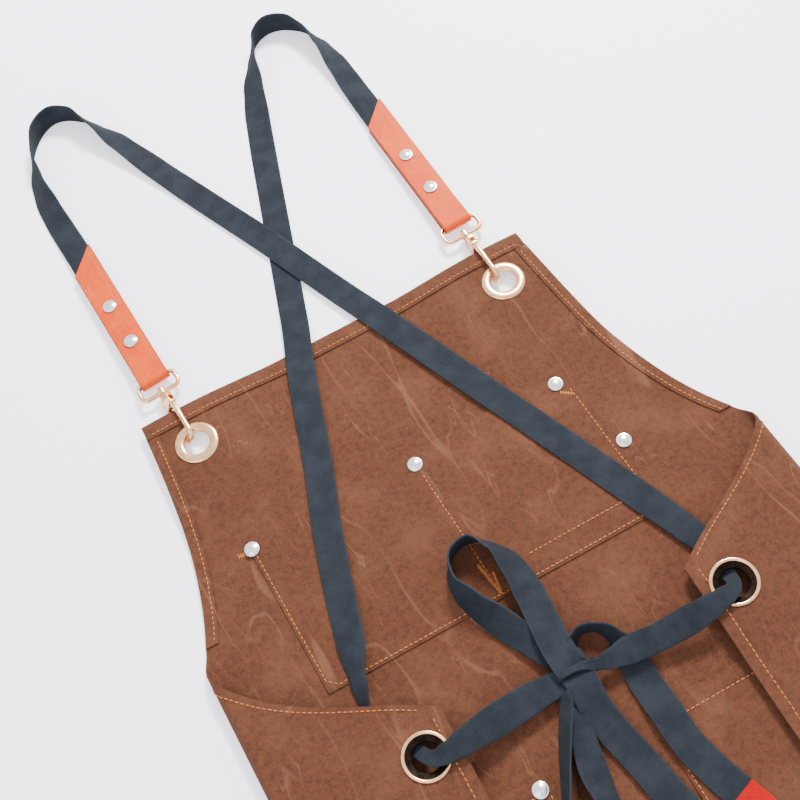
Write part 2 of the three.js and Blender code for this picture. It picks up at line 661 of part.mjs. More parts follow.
// The rectangular ring with its swivel eye in the middle of the near bar, at the frame's origin.
function ringGeometry() {
  const halfWidth = (RING_WIDTH - RING_WIRE) / 2;
  const corner = 4;
  const r = RING_WIRE / 2;
  const outline = (inset, path) => {
    const x = halfWidth - inset;
    const low = inset;
    const high = RING_HEIGHT - inset;
    const c = Math.max(corner - inset, 0.8);
    path.moveTo(-x + c, low);
    path.lineTo(x - c, low);
    path.absarc(x - c, low + c, c, -Math.PI / 2, 0, false);
    path.lineTo(x, high - c);
    path.absarc(x - c, high - c, c, 0, Math.PI / 2, false);
    path.lineTo(-x + c, high);
    path.absarc(-x + c, high - c, c, Math.PI / 2, Math.PI, false);
    path.lineTo(-x, low + c);
    path.absarc(-x + c, low + c, c, Math.PI, 1.5 * Math.PI, false);
    return path;
  };
  const bevel = r * 0.45;
  const shape = outline(-r + bevel, new THREE.Shape());
  shape.holes.push(outline(r - bevel, new THREE.Path()));
  const loop = new THREE.ExtrudeGeometry(shape, {
    depth: RING_WIRE - 2 * bevel,
    bevelThickness: bevel,
    bevelSize: bevel,
    bevelSegments: 1,
    curveSegments: 4,
  }).translate(0, 0, -r + bevel);
  const eye = new THREE.CylinderGeometry(EYE_RADIUS, EYE_RADIUS, EYE_LENGTH, 16);
  const bore = STUD_RADIUS + CLASP_CLEARANCE;
  return cut(join([loop, eye]), [new THREE.CylinderGeometry(bore, bore, EYE_LENGTH + 4, 12)]);
}

const TIP_RETURN = 4; // how far the hook's tip runs back from the bend
const GATE_PIVOT_Y = -EYE_LENGTH / 2 - CLASP_CLEARANCE - 7.4;
const GATE_PIVOT_Z = -HOOK_HALF_GAP + 1.2;

// The clasp hangs from the ring's eye along -Y; its hook lies in the YZ plane, with the gate below.
function hookGeometry() {
  const collar = new THREE.CylinderGeometry(EYE_RADIUS, EYE_RADIUS, 3, 16);
  const top = -EYE_LENGTH / 2 - CLASP_CLEARANCE;
  collar.translate(0, top - 1.5, 0);
  const bodyHeight = 2 * HOOK_HALF_GAP + HOOK_WIRE * 0.8;
  const body = new THREE.BoxGeometry(HOOK_WIRE + 1, HOOK_BODY_LENGTH - 4, bodyHeight);
  body.translate(0, top - 2 - (HOOK_BODY_LENGTH - 4) / 2, 0);
  const bendY = -HOOK_LENGTH + HOOK_HALF_GAP;
  const bend = spread(0, Math.PI, 6).map(
    (a) => new THREE.Vector3(0, bendY - HOOK_HALF_GAP * Math.sin(a), HOOK_HALF_GAP * Math.cos(a)),
  );
  const path = [
    new THREE.Vector3(0, top - 5, HOOK_HALF_GAP * 0.8),
    new THREE.Vector3(0, top - HOOK_BODY_LENGTH - 4, HOOK_HALF_GAP),
    ...bend,
    new THREE.Vector3(0, bendY + TIP_RETURN, -HOOK_HALF_GAP),
  ];
  const slotWidth = GATE_THICKNESS + 2 * CLASP_CLEARANCE;
  const slot = new THREE.BoxGeometry(slotWidth, 9, 9).translate(0, GATE_PIVOT_Y - 1.6, GATE_PIVOT_Z - 2);
  const pinBore = GATE_PIN_RADIUS + 0.1;
  const pinHole = new THREE.CylinderGeometry(pinBore, pinBore, 20, 12).rotateZ(Math.PI / 2);
  pinHole.translate(0, GATE_PIVOT_Y, GATE_PIVOT_Z);
  const studHole = STUD_RADIUS + 0.1;
  const studBore = new THREE.CylinderGeometry(studHole, studHole, 8, 12).translate(0, top - 1, 0);
  return cut(join([collar, body, wire(path, HOOK_WIRE / 2, 26, 8)]), [slot, pinHole, studBore]);
}

// The gate turns on its pin and closes against the hook's tip.
function gateGeometry() {
  const tipY = -HOOK_LENGTH + HOOK_HALF_GAP + TIP_RETURN + CLASP_CLEARANCE;
  const reach = GATE_PIVOT_Y - tipY;
  const knuckle = new THREE.CylinderGeometry(2.2, 2.2, GATE_THICKNESS, 16).rotateZ(Math.PI / 2);
  const arm = new THREE.BoxGeometry(GATE_THICKNESS, reach, 2.4).translate(0, -reach / 2, -1);
  const bore = GATE_PIN_RADIUS + 0.15;
  const hole = new THREE.CylinderGeometry(bore, bore, 8, 12).rotateZ(Math.PI / 2);
  return cut(join([knuckle, arm]), [hole]).translate(0, GATE_PIVOT_Y, GATE_PIVOT_Z);
}

// A leaf spring in the slot, between the body and the gate's arm.
function springGeometry() {
  const leaf = new THREE.BoxGeometry(GATE_THICKNESS - 0.6, 3, 0.4);
  return leaf.translate(0, GATE_PIVOT_Y - 2.9, GATE_PIVOT_Z + 2);
}

function studGeometry() {
  const top = EYE_LENGTH / 2 + CLASP_CLEARANCE;
  const bottom = -EYE_LENGTH / 2 - CLASP_CLEARANCE - 4;
  const profile = [
    [0, bottom],
    [STUD_RADIUS, bottom],
    [STUD_RADIUS, top],
    [STUD_HEAD_RADIUS, top],
    [STUD_HEAD_RADIUS * 0.8, top + 1.1],
    [0, top + 1.3],
  ];
  return new THREE.LatheGeometry(profile.map(([r, y]) => new THREE.Vector2(r, y)), 16);
}

// The clasp and the tab lie in one line through the ring's eye at (eyeX, EYE_Y), turned by heading.
function claspAndTab(side, eyeX, heading, swivel) {
  const name = side < 0 ? "left" : "right";
  const strap = side < 0 ? LEFT_STRAP : RIGHT_STRAP;
  const end = new THREE.Group();
  end.position.set(eyeX, EYE_Y, CLASP_HEIGHT);
  end.rotation.z = THREE.MathUtils.degToRad(heading);
  apron.add(end);

  addMesh(`ring_${name}`, ringGeometry(), GOLD, end);
  const tabFrame = new THREE.Group();
  tabFrame.position.y = RING_HEIGHT;
  tabFrame.rotation.x = -TAB_SLOPE;
  end.add(tabFrame);
  addMesh(`leather_tab_${name}`, tabGeometry(), LEATHER, tabFrame);
  apron.updateMatrixWorld(true);
  const half = TAB_SLOT / 2 + LEATHER_THICKNESS;
  const holes = TAB_RIVETS.map((y, i) => {
    const place = new THREE.Group();
    place.position.y = y;
    tabFrame.add(place);
    place.updateWorldMatrix(true, false);
    rivet(`tab_rivet_${name}_${i + 1}`, place, half, -half);
    const hole = new THREE.CylinderGeometry(HOLE_AROUND_POST, HOLE_AROUND_POST, 12, 8);
    return hole.rotateX(Math.PI / 2).applyMatrix4(place.matrixWorld);
  });
  addMesh(`strap_${name}`, cut(band(strap, 70), holes), WEBBING);

  const hook = new THREE.Group();
  hook.rotation.y = THREE.MathUtils.degToRad(swivel);
  end.add(hook);
  addMesh(`hook_${name}`, hookGeometry(), GOLD, hook);
  addMesh(`swivel_stud_${name}`, studGeometry(), GOLD, hook);
  addMesh(`gate_${name}`, gateGeometry(), GOLD, hook);
  const pin = new THREE.CylinderGeometry(GATE_PIN_RADIUS, GATE_PIN_RADIUS, HOOK_WIRE + 0.6, 12);
  addMesh(`gate_pin_${name}`, pin.rotateZ(Math.PI / 2).translate(0, GATE_PIVOT_Y, GATE_PIVOT_Z), SILVER, hook);
  addMesh(`gate_spring_${name}`, springGeometry(), SILVER, hook);
}
claspAndTab(-1, -126, 4.8, 30);
claspAndTab(1, 118.5, 2, 4);

// ---- the part's origin: the middle of the base of everything but the free webbing -----------------
const FREE_WEBBING = /^(strap|bow|tie)_/;
apron.updateMatrixWorld(true);
const base = new THREE.Box3();
apron.traverse((piece) => {
  if (piece.isMesh && !FREE_WEBBING.test(piece.name)) base.expandByObject(piece, true);
});
apron.position.set(-(base.min.x + base.max.x) / 2, -(base.min.y + base.max.y) / 2, -base.min.z);

export default apron;
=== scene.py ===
import bmesh
import bpy
import json
import math
import random
from mathutils import Matrix, Vector, noise
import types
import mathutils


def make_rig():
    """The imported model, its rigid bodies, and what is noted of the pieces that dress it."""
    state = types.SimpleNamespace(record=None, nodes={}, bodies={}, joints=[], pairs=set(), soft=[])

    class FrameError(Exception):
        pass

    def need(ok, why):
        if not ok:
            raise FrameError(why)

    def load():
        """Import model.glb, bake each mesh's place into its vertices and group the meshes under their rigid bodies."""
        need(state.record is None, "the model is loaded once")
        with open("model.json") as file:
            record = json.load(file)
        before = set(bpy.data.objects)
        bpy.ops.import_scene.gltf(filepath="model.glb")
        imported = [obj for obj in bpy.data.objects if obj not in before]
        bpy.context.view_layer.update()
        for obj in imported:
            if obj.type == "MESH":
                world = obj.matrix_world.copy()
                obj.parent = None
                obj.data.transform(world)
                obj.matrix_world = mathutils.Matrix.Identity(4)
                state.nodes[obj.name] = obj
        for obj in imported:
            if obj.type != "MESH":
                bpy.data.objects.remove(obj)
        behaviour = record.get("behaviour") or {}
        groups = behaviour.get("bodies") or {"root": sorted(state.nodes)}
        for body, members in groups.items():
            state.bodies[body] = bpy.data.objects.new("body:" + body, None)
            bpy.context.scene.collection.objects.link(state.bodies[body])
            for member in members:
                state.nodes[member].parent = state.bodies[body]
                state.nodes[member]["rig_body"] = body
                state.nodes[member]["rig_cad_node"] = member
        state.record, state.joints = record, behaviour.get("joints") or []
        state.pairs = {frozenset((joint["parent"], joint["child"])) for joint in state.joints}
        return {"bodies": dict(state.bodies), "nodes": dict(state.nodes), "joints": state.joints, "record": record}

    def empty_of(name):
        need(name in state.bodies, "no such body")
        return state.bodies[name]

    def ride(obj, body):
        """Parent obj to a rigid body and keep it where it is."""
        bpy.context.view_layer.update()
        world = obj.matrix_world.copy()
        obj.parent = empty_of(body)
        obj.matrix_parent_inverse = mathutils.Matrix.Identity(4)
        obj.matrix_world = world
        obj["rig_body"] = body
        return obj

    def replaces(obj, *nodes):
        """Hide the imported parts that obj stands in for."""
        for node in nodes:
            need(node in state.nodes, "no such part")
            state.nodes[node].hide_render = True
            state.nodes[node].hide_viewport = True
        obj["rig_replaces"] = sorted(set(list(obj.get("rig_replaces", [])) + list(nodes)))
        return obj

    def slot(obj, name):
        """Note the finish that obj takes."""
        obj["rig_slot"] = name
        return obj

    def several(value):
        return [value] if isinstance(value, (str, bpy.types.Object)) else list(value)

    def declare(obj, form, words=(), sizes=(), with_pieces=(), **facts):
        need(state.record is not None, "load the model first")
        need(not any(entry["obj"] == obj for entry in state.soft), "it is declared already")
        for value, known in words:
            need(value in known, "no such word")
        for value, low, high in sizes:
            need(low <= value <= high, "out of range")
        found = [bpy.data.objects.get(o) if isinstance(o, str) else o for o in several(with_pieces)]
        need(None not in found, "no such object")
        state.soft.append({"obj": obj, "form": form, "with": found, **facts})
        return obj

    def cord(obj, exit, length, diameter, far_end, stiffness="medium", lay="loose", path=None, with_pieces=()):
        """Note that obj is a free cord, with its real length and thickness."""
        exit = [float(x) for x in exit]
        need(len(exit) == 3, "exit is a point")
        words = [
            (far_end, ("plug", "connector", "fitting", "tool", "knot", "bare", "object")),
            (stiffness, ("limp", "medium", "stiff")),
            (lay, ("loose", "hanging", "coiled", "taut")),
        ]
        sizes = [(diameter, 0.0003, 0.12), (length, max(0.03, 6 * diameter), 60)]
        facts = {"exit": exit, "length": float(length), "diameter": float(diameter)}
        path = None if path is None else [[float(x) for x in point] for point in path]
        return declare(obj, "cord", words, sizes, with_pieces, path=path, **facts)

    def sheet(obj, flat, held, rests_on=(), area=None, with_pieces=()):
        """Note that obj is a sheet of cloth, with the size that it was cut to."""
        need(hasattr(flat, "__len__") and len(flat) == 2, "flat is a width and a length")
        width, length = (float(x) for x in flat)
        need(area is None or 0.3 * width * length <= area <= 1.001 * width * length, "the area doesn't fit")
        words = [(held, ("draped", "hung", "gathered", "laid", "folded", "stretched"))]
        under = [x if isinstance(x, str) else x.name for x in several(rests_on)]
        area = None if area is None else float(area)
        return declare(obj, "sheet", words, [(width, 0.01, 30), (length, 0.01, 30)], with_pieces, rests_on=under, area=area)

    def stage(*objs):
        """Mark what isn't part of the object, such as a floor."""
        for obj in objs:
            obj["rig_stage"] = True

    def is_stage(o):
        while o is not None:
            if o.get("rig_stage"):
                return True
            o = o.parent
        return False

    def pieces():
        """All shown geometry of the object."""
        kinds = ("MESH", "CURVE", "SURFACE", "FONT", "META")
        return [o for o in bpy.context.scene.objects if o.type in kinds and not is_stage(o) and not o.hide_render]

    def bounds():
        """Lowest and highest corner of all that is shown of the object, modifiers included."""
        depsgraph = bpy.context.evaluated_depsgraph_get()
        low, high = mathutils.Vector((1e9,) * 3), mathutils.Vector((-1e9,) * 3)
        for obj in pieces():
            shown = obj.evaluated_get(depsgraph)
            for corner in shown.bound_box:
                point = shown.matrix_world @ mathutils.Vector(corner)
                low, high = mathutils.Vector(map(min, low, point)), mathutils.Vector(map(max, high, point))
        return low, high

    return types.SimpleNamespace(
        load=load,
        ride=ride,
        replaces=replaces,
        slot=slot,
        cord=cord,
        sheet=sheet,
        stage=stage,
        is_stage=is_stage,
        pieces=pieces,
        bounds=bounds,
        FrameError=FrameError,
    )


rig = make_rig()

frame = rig.load()
cad_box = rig.bounds()
rng = random.Random(11)

# ---- driving dimensions --------------------------------------------------------------------------
ORIGIN = Vector((-0.0177375, 0.2957903, -0.0000611))  # the middle of the bib's top edge
GAP = 0.0003
APRON_LENGTH = 0.760
BIB_HALF_WIDTH = 0.150
SKIRT_HALF_WIDTH = 0.307
ARMHOLE_DEPTH = 0.271
ARMHOLE_FLARE = 0.064
CLOTH_THICKNESS = 0.0012
HALF_CLOTH = CLOTH_THICKNESS / 2
CLOTH_BASE = 0.0010
LAID_SKEW = 0.045
FOLD_RADIUS = 0.0055
LEFT_FOLD_U = 0.180
RIGHT_FOLD_U = 0.195
WING_DROOP = math.radians(2)
HEM_WIDTH = 0.012
HEM_THICKNESS = 0.0008
HEM_LOW = HALF_CLOTH + 0.00045
HEM_TOP = HEM_LOW + HEM_THICKNESS
SIDE_HEM_WIDTH = 0.009
BACK_HEM_WIDTH = 0.0085

EYELET_HOLE_RADIUS = 0.009
WAIST_RIM_INNER = 0.0128  # the wings show a narrower rim with a funnel inside it, painted near-black as shade
EYELET_RADIUS = 0.0155
BIB_EYELET = (0.121, -0.031)
WAIST_EYELET = (0.286, -0.293)
BIB_LEVEL = 0.020
WAIST_LEVEL = 0.017
BIB_LIFT = 0.006
WAIST_LIFT = 0.0025

POCKET_LOW = HALF_CLOTH + GAP
POCKET_TOP = POCKET_LOW + 0.0010
CHEST_LEFT, CHEST_RIGHT, CHEST_HIGH, CHEST_FOOT = -0.125, 0.116, -0.111, -0.229
LOWER_INNER, LOWER_OUTER, LOWER_HIGH, LOWER_FOOT = 0.036, 0.165, -0.332, -0.520

POCKET_RIVETS = {
    "chest_rivet_left": (-0.1235, -0.119),
    "chest_rivet_middle": (-0.0025, -0.121),
    "chest_rivet_right": (0.1075, -0.118),
    "lower_rivet_left_inner": (-0.042, -0.340),
    "lower_rivet_right_inner": (0.042, -0.340),
    "lower_rivet_left_outer": (-0.159, -0.340),
    "lower_rivet_right_outer": (0.159, -0.340),
}
SIDE_RIVET = (0.122, -0.176)

WEBBING_THICKNESS = 0.0014
TIP_LENGTH = 0.024

# ---- routes of the free webbing: (x, y, lowest z, lean in degrees, width) -------------------------
LEFT_STRAP = [
    (-0.1339, 0.112, 0.00425, 0, 0.02),
    (-0.136, 0.137, 0.00345, 0, 0.02),
    (-0.1386, 0.168, 0.0024, 0, 0.02),
    (-0.141, 0.191, 0.0009, -10, 0.02),
    (-0.143, 0.216, 0.0003, -25, 0.02),
    (-0.143, 0.244, 0.0003, -50, 0.02),
    (-0.137, 0.272, 0.0003, -75, 0.02),
    (-0.126, 0.292, 0.0003, -88, 0.02),
    (-0.11, 0.3, 0.0003, -90, 0.02),
    (-0.095, 0.292, 0.0003, -85, 0.02),
    (-0.083, 0.272, 0.0003, -60, 0.02),
    (-0.071, 0.246, 0.0003, -28, 0.02),
    (-0.055, 0.207, 0.0006, -8, 0.02),
    (-0.037, 0.164, 0.0014, 0, 0.02),
    (-0.009, 0.098, 0.0023, 0, 0.02),
    (0.003, 0.068, 0.0023, 0, 0.02),
    (0.022, 0.02, 0.0032, 0, 0.02),
    (0.031, -0.002, 0.0042, 0, 0.02),
    (0.044, -0.034, 0.0044, 0, 0.02),
    (0.07, -0.098, 0.004, 0, 0.02),
    (0.092, -0.152, 0.0042, 0, 0.02),
    (0.116, -0.212, 0.0044, 0, 0.02),
    (0.129, -0.246, 0.0044, 4, 0.018),
    (0.135, -0.268, 0.0044, 15, 0.014),
    (0.1345, -0.282, 0.0052, 15, 0.011),
    (0.134, -0.288, 0.0082, 8, 0.009),
    (0.133, -0.293, 0.0124, 0, 0.009),
    (0.129, -0.297, 0.0152, -8, 0.01),
    (0.12, -0.299, 0.016, -15, 0.013),
    (0.109, -0.3, 0.0154, -20, 0.016),
    (0.094, -0.3, 0.0128, -18, 0.018),
    (0.074, -0.299, 0.0102, -14, 0.017),
    (0.058, -0.297, 0.0096, -10, 0.0175),
    (0.045, -0.2965, 0.0100, -20, 0.0125),
    (0.036, -0.2955, 0.0108, -34, 0.0080),
    (0.028, -0.293, 0.0108, -30, 0.006),
]
RIGHT_STRAP = [
    (0.1152, 0.112, 0.00425, 0, 0.02),
    (0.1143, 0.137, 0.00345, 0, 0.02),
    (0.1133, 0.168, 0.0024, 0, 0.02),
    (0.1126, 0.192, 0.0009, 8, 0.02),
    (0.112, 0.216, 0.0003, 22, 0.02),
    (0.11, 0.242, 0.0003, 48, 0.02),
    (0.104, 0.264, 0.0003, 72, 0.02),
    (0.094, 0.279, 0.0003, 86, 0.02),
    (0.079, 0.285, 0.0003, 90, 0.02),
    (0.065, 0.278, 0.0003, 84, 0.02),
    (0.054, 0.26, 0.0003, 62, 0.02),
    (0.044, 0.236, 0.0003, 30, 0.02),
    (0.034, 0.207, 0.0003, 8, 0.02),
    (0.022, 0.168, 0.0003, 0, 0.02),
    (0.008, 0.12, 0.0003, 0, 0.02),
    (-0.003, 0.082, 0.0003, 0, 0.02),
    (-0.014, 0.044, 0.0008, 0, 0.02),
    (-0.022, 0.016, 0.0028, 0, 0.02),
    (-0.028, -0.002, 0.0042, 0, 0.02),
    (-0.037, -0.03, 0.0042, 0, 0.02),
    (-0.057, -0.098, 0.0036, 0, 0.02),
    (-0.066, -0.124, 0.0042, 0, 0.02),
    (-0.078, -0.166, 0.0042, 4, 0.02),
    (-0.088, -0.206, 0.0042, 14, 0.02),
    (-0.095, -0.232, 0.0034, 34, 0.014),
    (-0.098, -0.252, 0.0026, 44, 0.007),
    (-0.092, -0.272, 0.0029, 30, 0.009),
    (-0.085, -0.282, 0.0048, 0, 0.011),
    (-0.0815, -0.288, 0.008, 0, 0.009),
    (-0.079, -0.293, 0.0122, 0, 0.009),
    (-0.075, -0.297, 0.015, 8, 0.01),
    (-0.066, -0.298, 0.0158, 15, 0.013),
    (-0.053, -0.297, 0.0148, 20, 0.017),
    (-0.032, -0.295, 0.0114, 16, 0.02),
    (-0.012, -0.2935, 0.0092, 10, 0.019),
    (0.004, -0.293, 0.0088, 4, 0.0165),
    (0.015, -0.293, 0.0088, 0, 0.014),
]
BOW_LOOP_UPPER = [
    (0.015, -0.279, 0.0062, 0, 0.014),
    (0.0085, -0.263, 0.0047, -12, 0.017),
    (0, -0.246, 0.003, -30, 0.02),
    (-0.011, -0.224, 0.0042, -54, 0.02),
    (-0.015, -0.206, 0.0042, -78, 0.02),
    (-0.008, -0.192, 0.0042, -90, 0.02),
    (0.006, -0.188, 0.0042, -88, 0.02),
    (0.017, -0.198, 0.0042, -64, 0.02),
    (0.023, -0.216, 0.0046, -32, 0.02),
    (0.0235, -0.236, 0.0062, -12, 0.02),
    (0.022, -0.256, 0.0092, -4, 0.02),
    (0.0205, -0.272, 0.0122, 0, 0.02),
    (0.0205, -0.2835, 0.0138, 0, 0.02),
    (0.0212, -0.2895, 0.0128, 0, 0.0202),
    (0.0216, -0.2915, 0.0102, 0, 0.0202),
]
BOW_LOOP_LOWER = [
    (0.0095, -0.299, 0.0064, 40, 0.010),
    (0.0075, -0.307, 0.0056, 48, 0.012),
    (-0.001, -0.32, 0.0042, 64, 0.017),
    (-0.015, -0.344, 0.0042, 74, 0.0195),
    (-0.026, -0.366, 0.0042, 80, 0.02),
    (-0.027, -0.384, 0.0042, 90, 0.02),
    (-0.015, -0.394, 0.0042, 90, 0.02),
    (-0.002, -0.384, 0.0042, 74, 0.02),
    (0, -0.366, 0.0042, 46, 0.02),
    (0.002, -0.346, 0.0052, 28, 0.02),
    (0.008, -0.324, 0.0062, 18, 0.015),
    (0.0125, -0.309, 0.0076, 8, 0.013),
    (0.015, -0.299, 0.0084, 0, 0.013),
]
TAIL_RIGHT = [
    (0.0285, -0.277, 0.003, 62, 0.012),
    (0.037, -0.272, 0.003, 76, 0.013),
    (0.0465, -0.2745, 0.003, 80, 0.013),
    (0.0535, -0.2835, 0.0029, 62, 0.0145),
    (0.056, -0.297, 0.0028, 20, 0.018),
    (0.0562, -0.318, 0.0032, 0, 0.02),
    (0.057, -0.338, 0.0062, 0, 0.02),
    (0.058, -0.358, 0.0052, 0, 0.02),
    (0.064, -0.382, 0.0042, 0, 0.02),
    (0.069, -0.396, 0.0042, 0, 0.02),
]
TAIL_LEFT = [
    (0.0212, -0.2893, 0.0072, 0, 0.0195),
    (0.0222, -0.2927, 0.0105, 0, 0.0202),
    (0.0226, -0.2985, 0.0122, 0, 0.0202),
    (0.0222, -0.3075, 0.0106, 0, 0.02),
    (0.0225, -0.3175, 0.0076, 0, 0.02),
    (0.0245, -0.332, 0.0048, 0, 0.02),
    (0.0285, -0.35, 0.0042, 0, 0.02),
    (0.034, -0.378, 0.0042, 0, 0.02),
    (0.04, -0.404, 0.0042, 0, 0.02),
]

# ---- camera --------------------------------------------------------------------------------------
YAW, TILT, ROLL = math.radians(-12.22), math.radians(27.16), math.radians(-17.14)
TARGET = ORIGIN + Vector((0.0168, -0.07141, 0))
turn = Matrix.Rotation(YAW, 4, "Z") @ Matrix.Rotation(TILT, 4, "X") @ Matrix.Rotation(ROLL, 4, "Z")
camera_data = bpy.data.cameras.new("camera")
camera_data.lens = 53.15
camera_data.sensor_width = 36
camera_data.clip_start = 0.01
camera = bpy.data.objects.new("camera", camera_data)
bpy.context.collection.objects.link(camera)
camera.matrix_world = Matrix.Translation(TARGET + turn.to_3x3() @ Vector((0, 0, 0.8135))) @ turn
bpy.context.scene.camera = camera


# ---- small helpers -------------------------------------------------------------------------------
def clamp(x, low, high):
    return max(low, min(high, x))


def smooth(x, low, high):
    t = clamp((x - low) / (high - low), 0, 1)
    return t * t * (3 - 2 * t)


def mix(a, b, t):
    return a + (b - a) * t


def spread(start, end, steps):
    return [mix(start, end, i / steps) for i in range(steps + 1)]


def new_object(name, mesh, *materials):
    piece = bpy.data.objects.new(name, mesh)
    bpy.context.collection.objects.link(piece)
    for material in materials:
        mesh.materials.append(material)
    return piece


# A mesh whose corners carry a pattern place, merged where they coincide.
def mesh_from(name, corners, faces, places, merge=2e-6):
    made = bmesh.new()
    points = [made.verts.new(c) for c in corners]
    layer = made.loops.layers.uv.new("pattern")
    for face in faces:
        polygon = made.faces.new([points[i] for i in face])
        polygon.smooth = True
        for loop, i in zip(polygon.loops, face):
            loop[layer].uv = places[i]
    bmesh.ops.remove_doubles(made, verts=made.verts, dist=merge)
    mesh = bpy.data.meshes.new(name)
    made.to_mesh(mesh)
    made.free()
    return mesh


def pick(piece):
    bpy.ops.object.select_all(action="DESELECT")
    piece.select_set(True)
    bpy.context.view_layer.objects.active = piece


def sharpen(piece, degrees):
    pick(piece)
    bpy.ops.object.shade_smooth_by_angle(angle=math.radians(degrees))


# Adds the tool to the piece or cuts it out, and takes the tool away.
def combine(piece, tool, operation):
    step = piece.modifiers.new("step", "BOOLEAN")
    step.object = tool
    step.operation = operation
    step.solver = "EXACT"
    pick(piece)
    bpy.ops.object.modifier_apply(modifier=step.name)
    bpy.data.objects.remove(tool)


# Says which body a piece rides on, which parts it stands for and what it is made of.
def declare(piece, body, slot, *nodes):
    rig.ride(piece, body)
    if nodes:
        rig.replaces(piece, *nodes)
    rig.slot(piece, slot)


# ---- free webbing --------------------------------------------------------------------------------
# A centripetal spline through points, as (place, number of the span, share of the span).
def spline(points, steps):
    before = points[0] * 2 - points[1]
    after = points[-1] * 2 - points[-2]
    ends = [before, *points, after]
    result = []
    for i in range(steps + 1):
        place = i / steps * (len(points) - 1)
        k = min(int(place), len(points) - 2)
        result.append((spline_point(ends[k : k + 4], place - k), k, place - k))
    return result


def spline_point(four, t):
    p0, p1, p2, p3 = four
    t0 = (p1 - p0).length ** 0.5
    t1 = (p2 - p1).length ** 0.5
    t2 = (p3 - p2).length ** 0.5
    m1 = ((p1 - p0) / t0 - (p2 - p0) / (t0 + t1) + (p2 - p1) / t1) * t1
    m2 = ((p2 - p1) / t1 - (p3 - p1) / (t1 + t2) + (p3 - p2) / t2) * t1
    t_2, t_3 = t * t, t * t * t
    places = p1 * (2 * t_3 - 3 * t_2 + 1) + p2 * (3 * t_2 - 2 * t_3)
    return places + m1 * (t_3 - 2 * t_2 + t) + m2 * (t_3 - t_2)


def with_underside(section):
    return section + [(a, -h) for a, h in section[::-1]]


# The webbing's section: half the width is 1 along the first number, half the thickness 1 along the second.
SECTION_ACROSS = [-1.0, -0.985, -0.94, -0.7, -0.35, 0.0, 0.35, 0.7, 0.94, 0.985, 1.0]
SECTION_HEIGHT = [0.35, 0.75, 1.0, 0.94, 0.9, 0.88, 0.9, 0.94, 1.0, 0.75, 0.35]
SECTION = with_underside(list(zip(SECTION_ACROSS, SECTION_HEIGHT)))


# Rings of the section on frames of (centre, across, face, width, place along), closed by end faces.
def skin(name, frames, thickness, slants=None, section=SECTION):
    corners, places, faces = [], [], []
    count = len(section)
    for i, (centre, across, face, width, along) in enumerate(frames):
        ahead = face.cross(across)
        for a, h in section:
            shift = slants[i] * a * width / 2 if slants else 0
            corners.append(centre + across * (a * width / 2) + face * (h * thickness / 2) + ahead * shift)
            places.append((a * width / 2 + 0.05, along + shift))
    for i in range(len(frames) - 1):
        for k in range(count):
            a, b = i * count + k, i * count + (k + 1) % count
            faces.append((a, b, b + count, a + count))
    last = (len(frames) - 1) * count
    half = count // 2
    for k in range(half - 1):
        faces.append((count - 1 - k, count - 2 - k, k + 1, k))
        faces.append((last + count - 2 - k, last + count - 1 - k, last + k, last + k + 1))
    return mesh_from(name, corners, faces, places)


# Frames along a route of (x, y, lowest z, lean, width). Lean turns the band's face from up, in degrees.
def route_frames(route, steps, wander=0.0):
    middles = []
    for x, y, low, lean, width in route:
        lean = math.radians(lean)
        lift = (abs(math.sin(lean)) * width + abs(math.cos(lean)) * WEBBING_THICKNESS) / 2
        middles.append(Vector((x, y, low + lift)) + ORIGIN)
    line = spline(middles, steps)
    frames, along = [], 0.0
    for i, (centre, k, t) in enumerate(line):
        before, after = line[max(i - 1, 0)][0], line[min(i + 1, steps)][0]
        ahead = (after - before).normalized()
        right = ahead.cross(Vector((0, 0, 1))).normalized()
        up = right.cross(ahead)
        lean = math.radians(mix(route[k][3], route[k + 1][3], smooth(t, 0, 1)))
        lean += wander * noise.noise(Vector((along * 14, 3.7, route[0][0] * 90)))
        face = up * math.cos(lean) + right * math.sin(lean)
        across = ahead.cross(face)
        width = mix(route[k][4], route[k + 1][4], smooth(t, 0, 1))
        if i:
            along += (centre - line[i - 1][0]).length
        frames.append((centre, across, face, width, along))
    return frames


def webbing(name, route, steps, material, wander=0.0):
    frames = route_frames(route, steps, wander)
    piece = new_object(name, skin(name, frames, WEBBING_THICKNESS), material)
    sharpen(piece, 50)
    return piece, [tuple(f[0]) for f in frames], frames[-1][4]


# ---- finishes ------------------------------------------------------------------------------------
def srgb(red, green, blue, alpha=1.0):
    def linear(c):
        c /= 255
        return c / 12.92 if c <= 0.04045 else ((c + 0.055) / 1.055) ** 2.4

    return (linear(red), linear(green), linear(blue), alpha)


def put(tree, kind, place=(0, 0), **settings):
    made = tree.nodes.new(kind)
    made.location = place
    for key, value in settings.items():
        setattr(made, key, value)
    return made


def feed(tree, source, socket):
    if isinstance(source, bpy.types.NodeSocket):
        tree.links.new(source, socket)
    elif source is not None:
        socket.default_value = source


def calc(tree, operation, *sources):
    made = put(tree, "ShaderNodeMath", operation=operation)
    for source, socket in zip(sources, made.inputs):
        feed(tree, source, socket)
    return made.outputs[0]


def blend_colours(tree, share, first, second):
    made = put(tree, "ShaderNodeMix", data_type="RGBA")
    feed(tree, share, made.inputs[0])
    feed(tree, first, made.inputs[6])
    feed(tree, second, made.inputs[7])
    return made.outputs[2]


# Lays a second colour over the first where the mask is, up to an amount.
def tint(tree, colour, mask, amount, second):
    return blend_colours(tree, calc(tree, "MULTIPLY", mask, amount), colour, second)


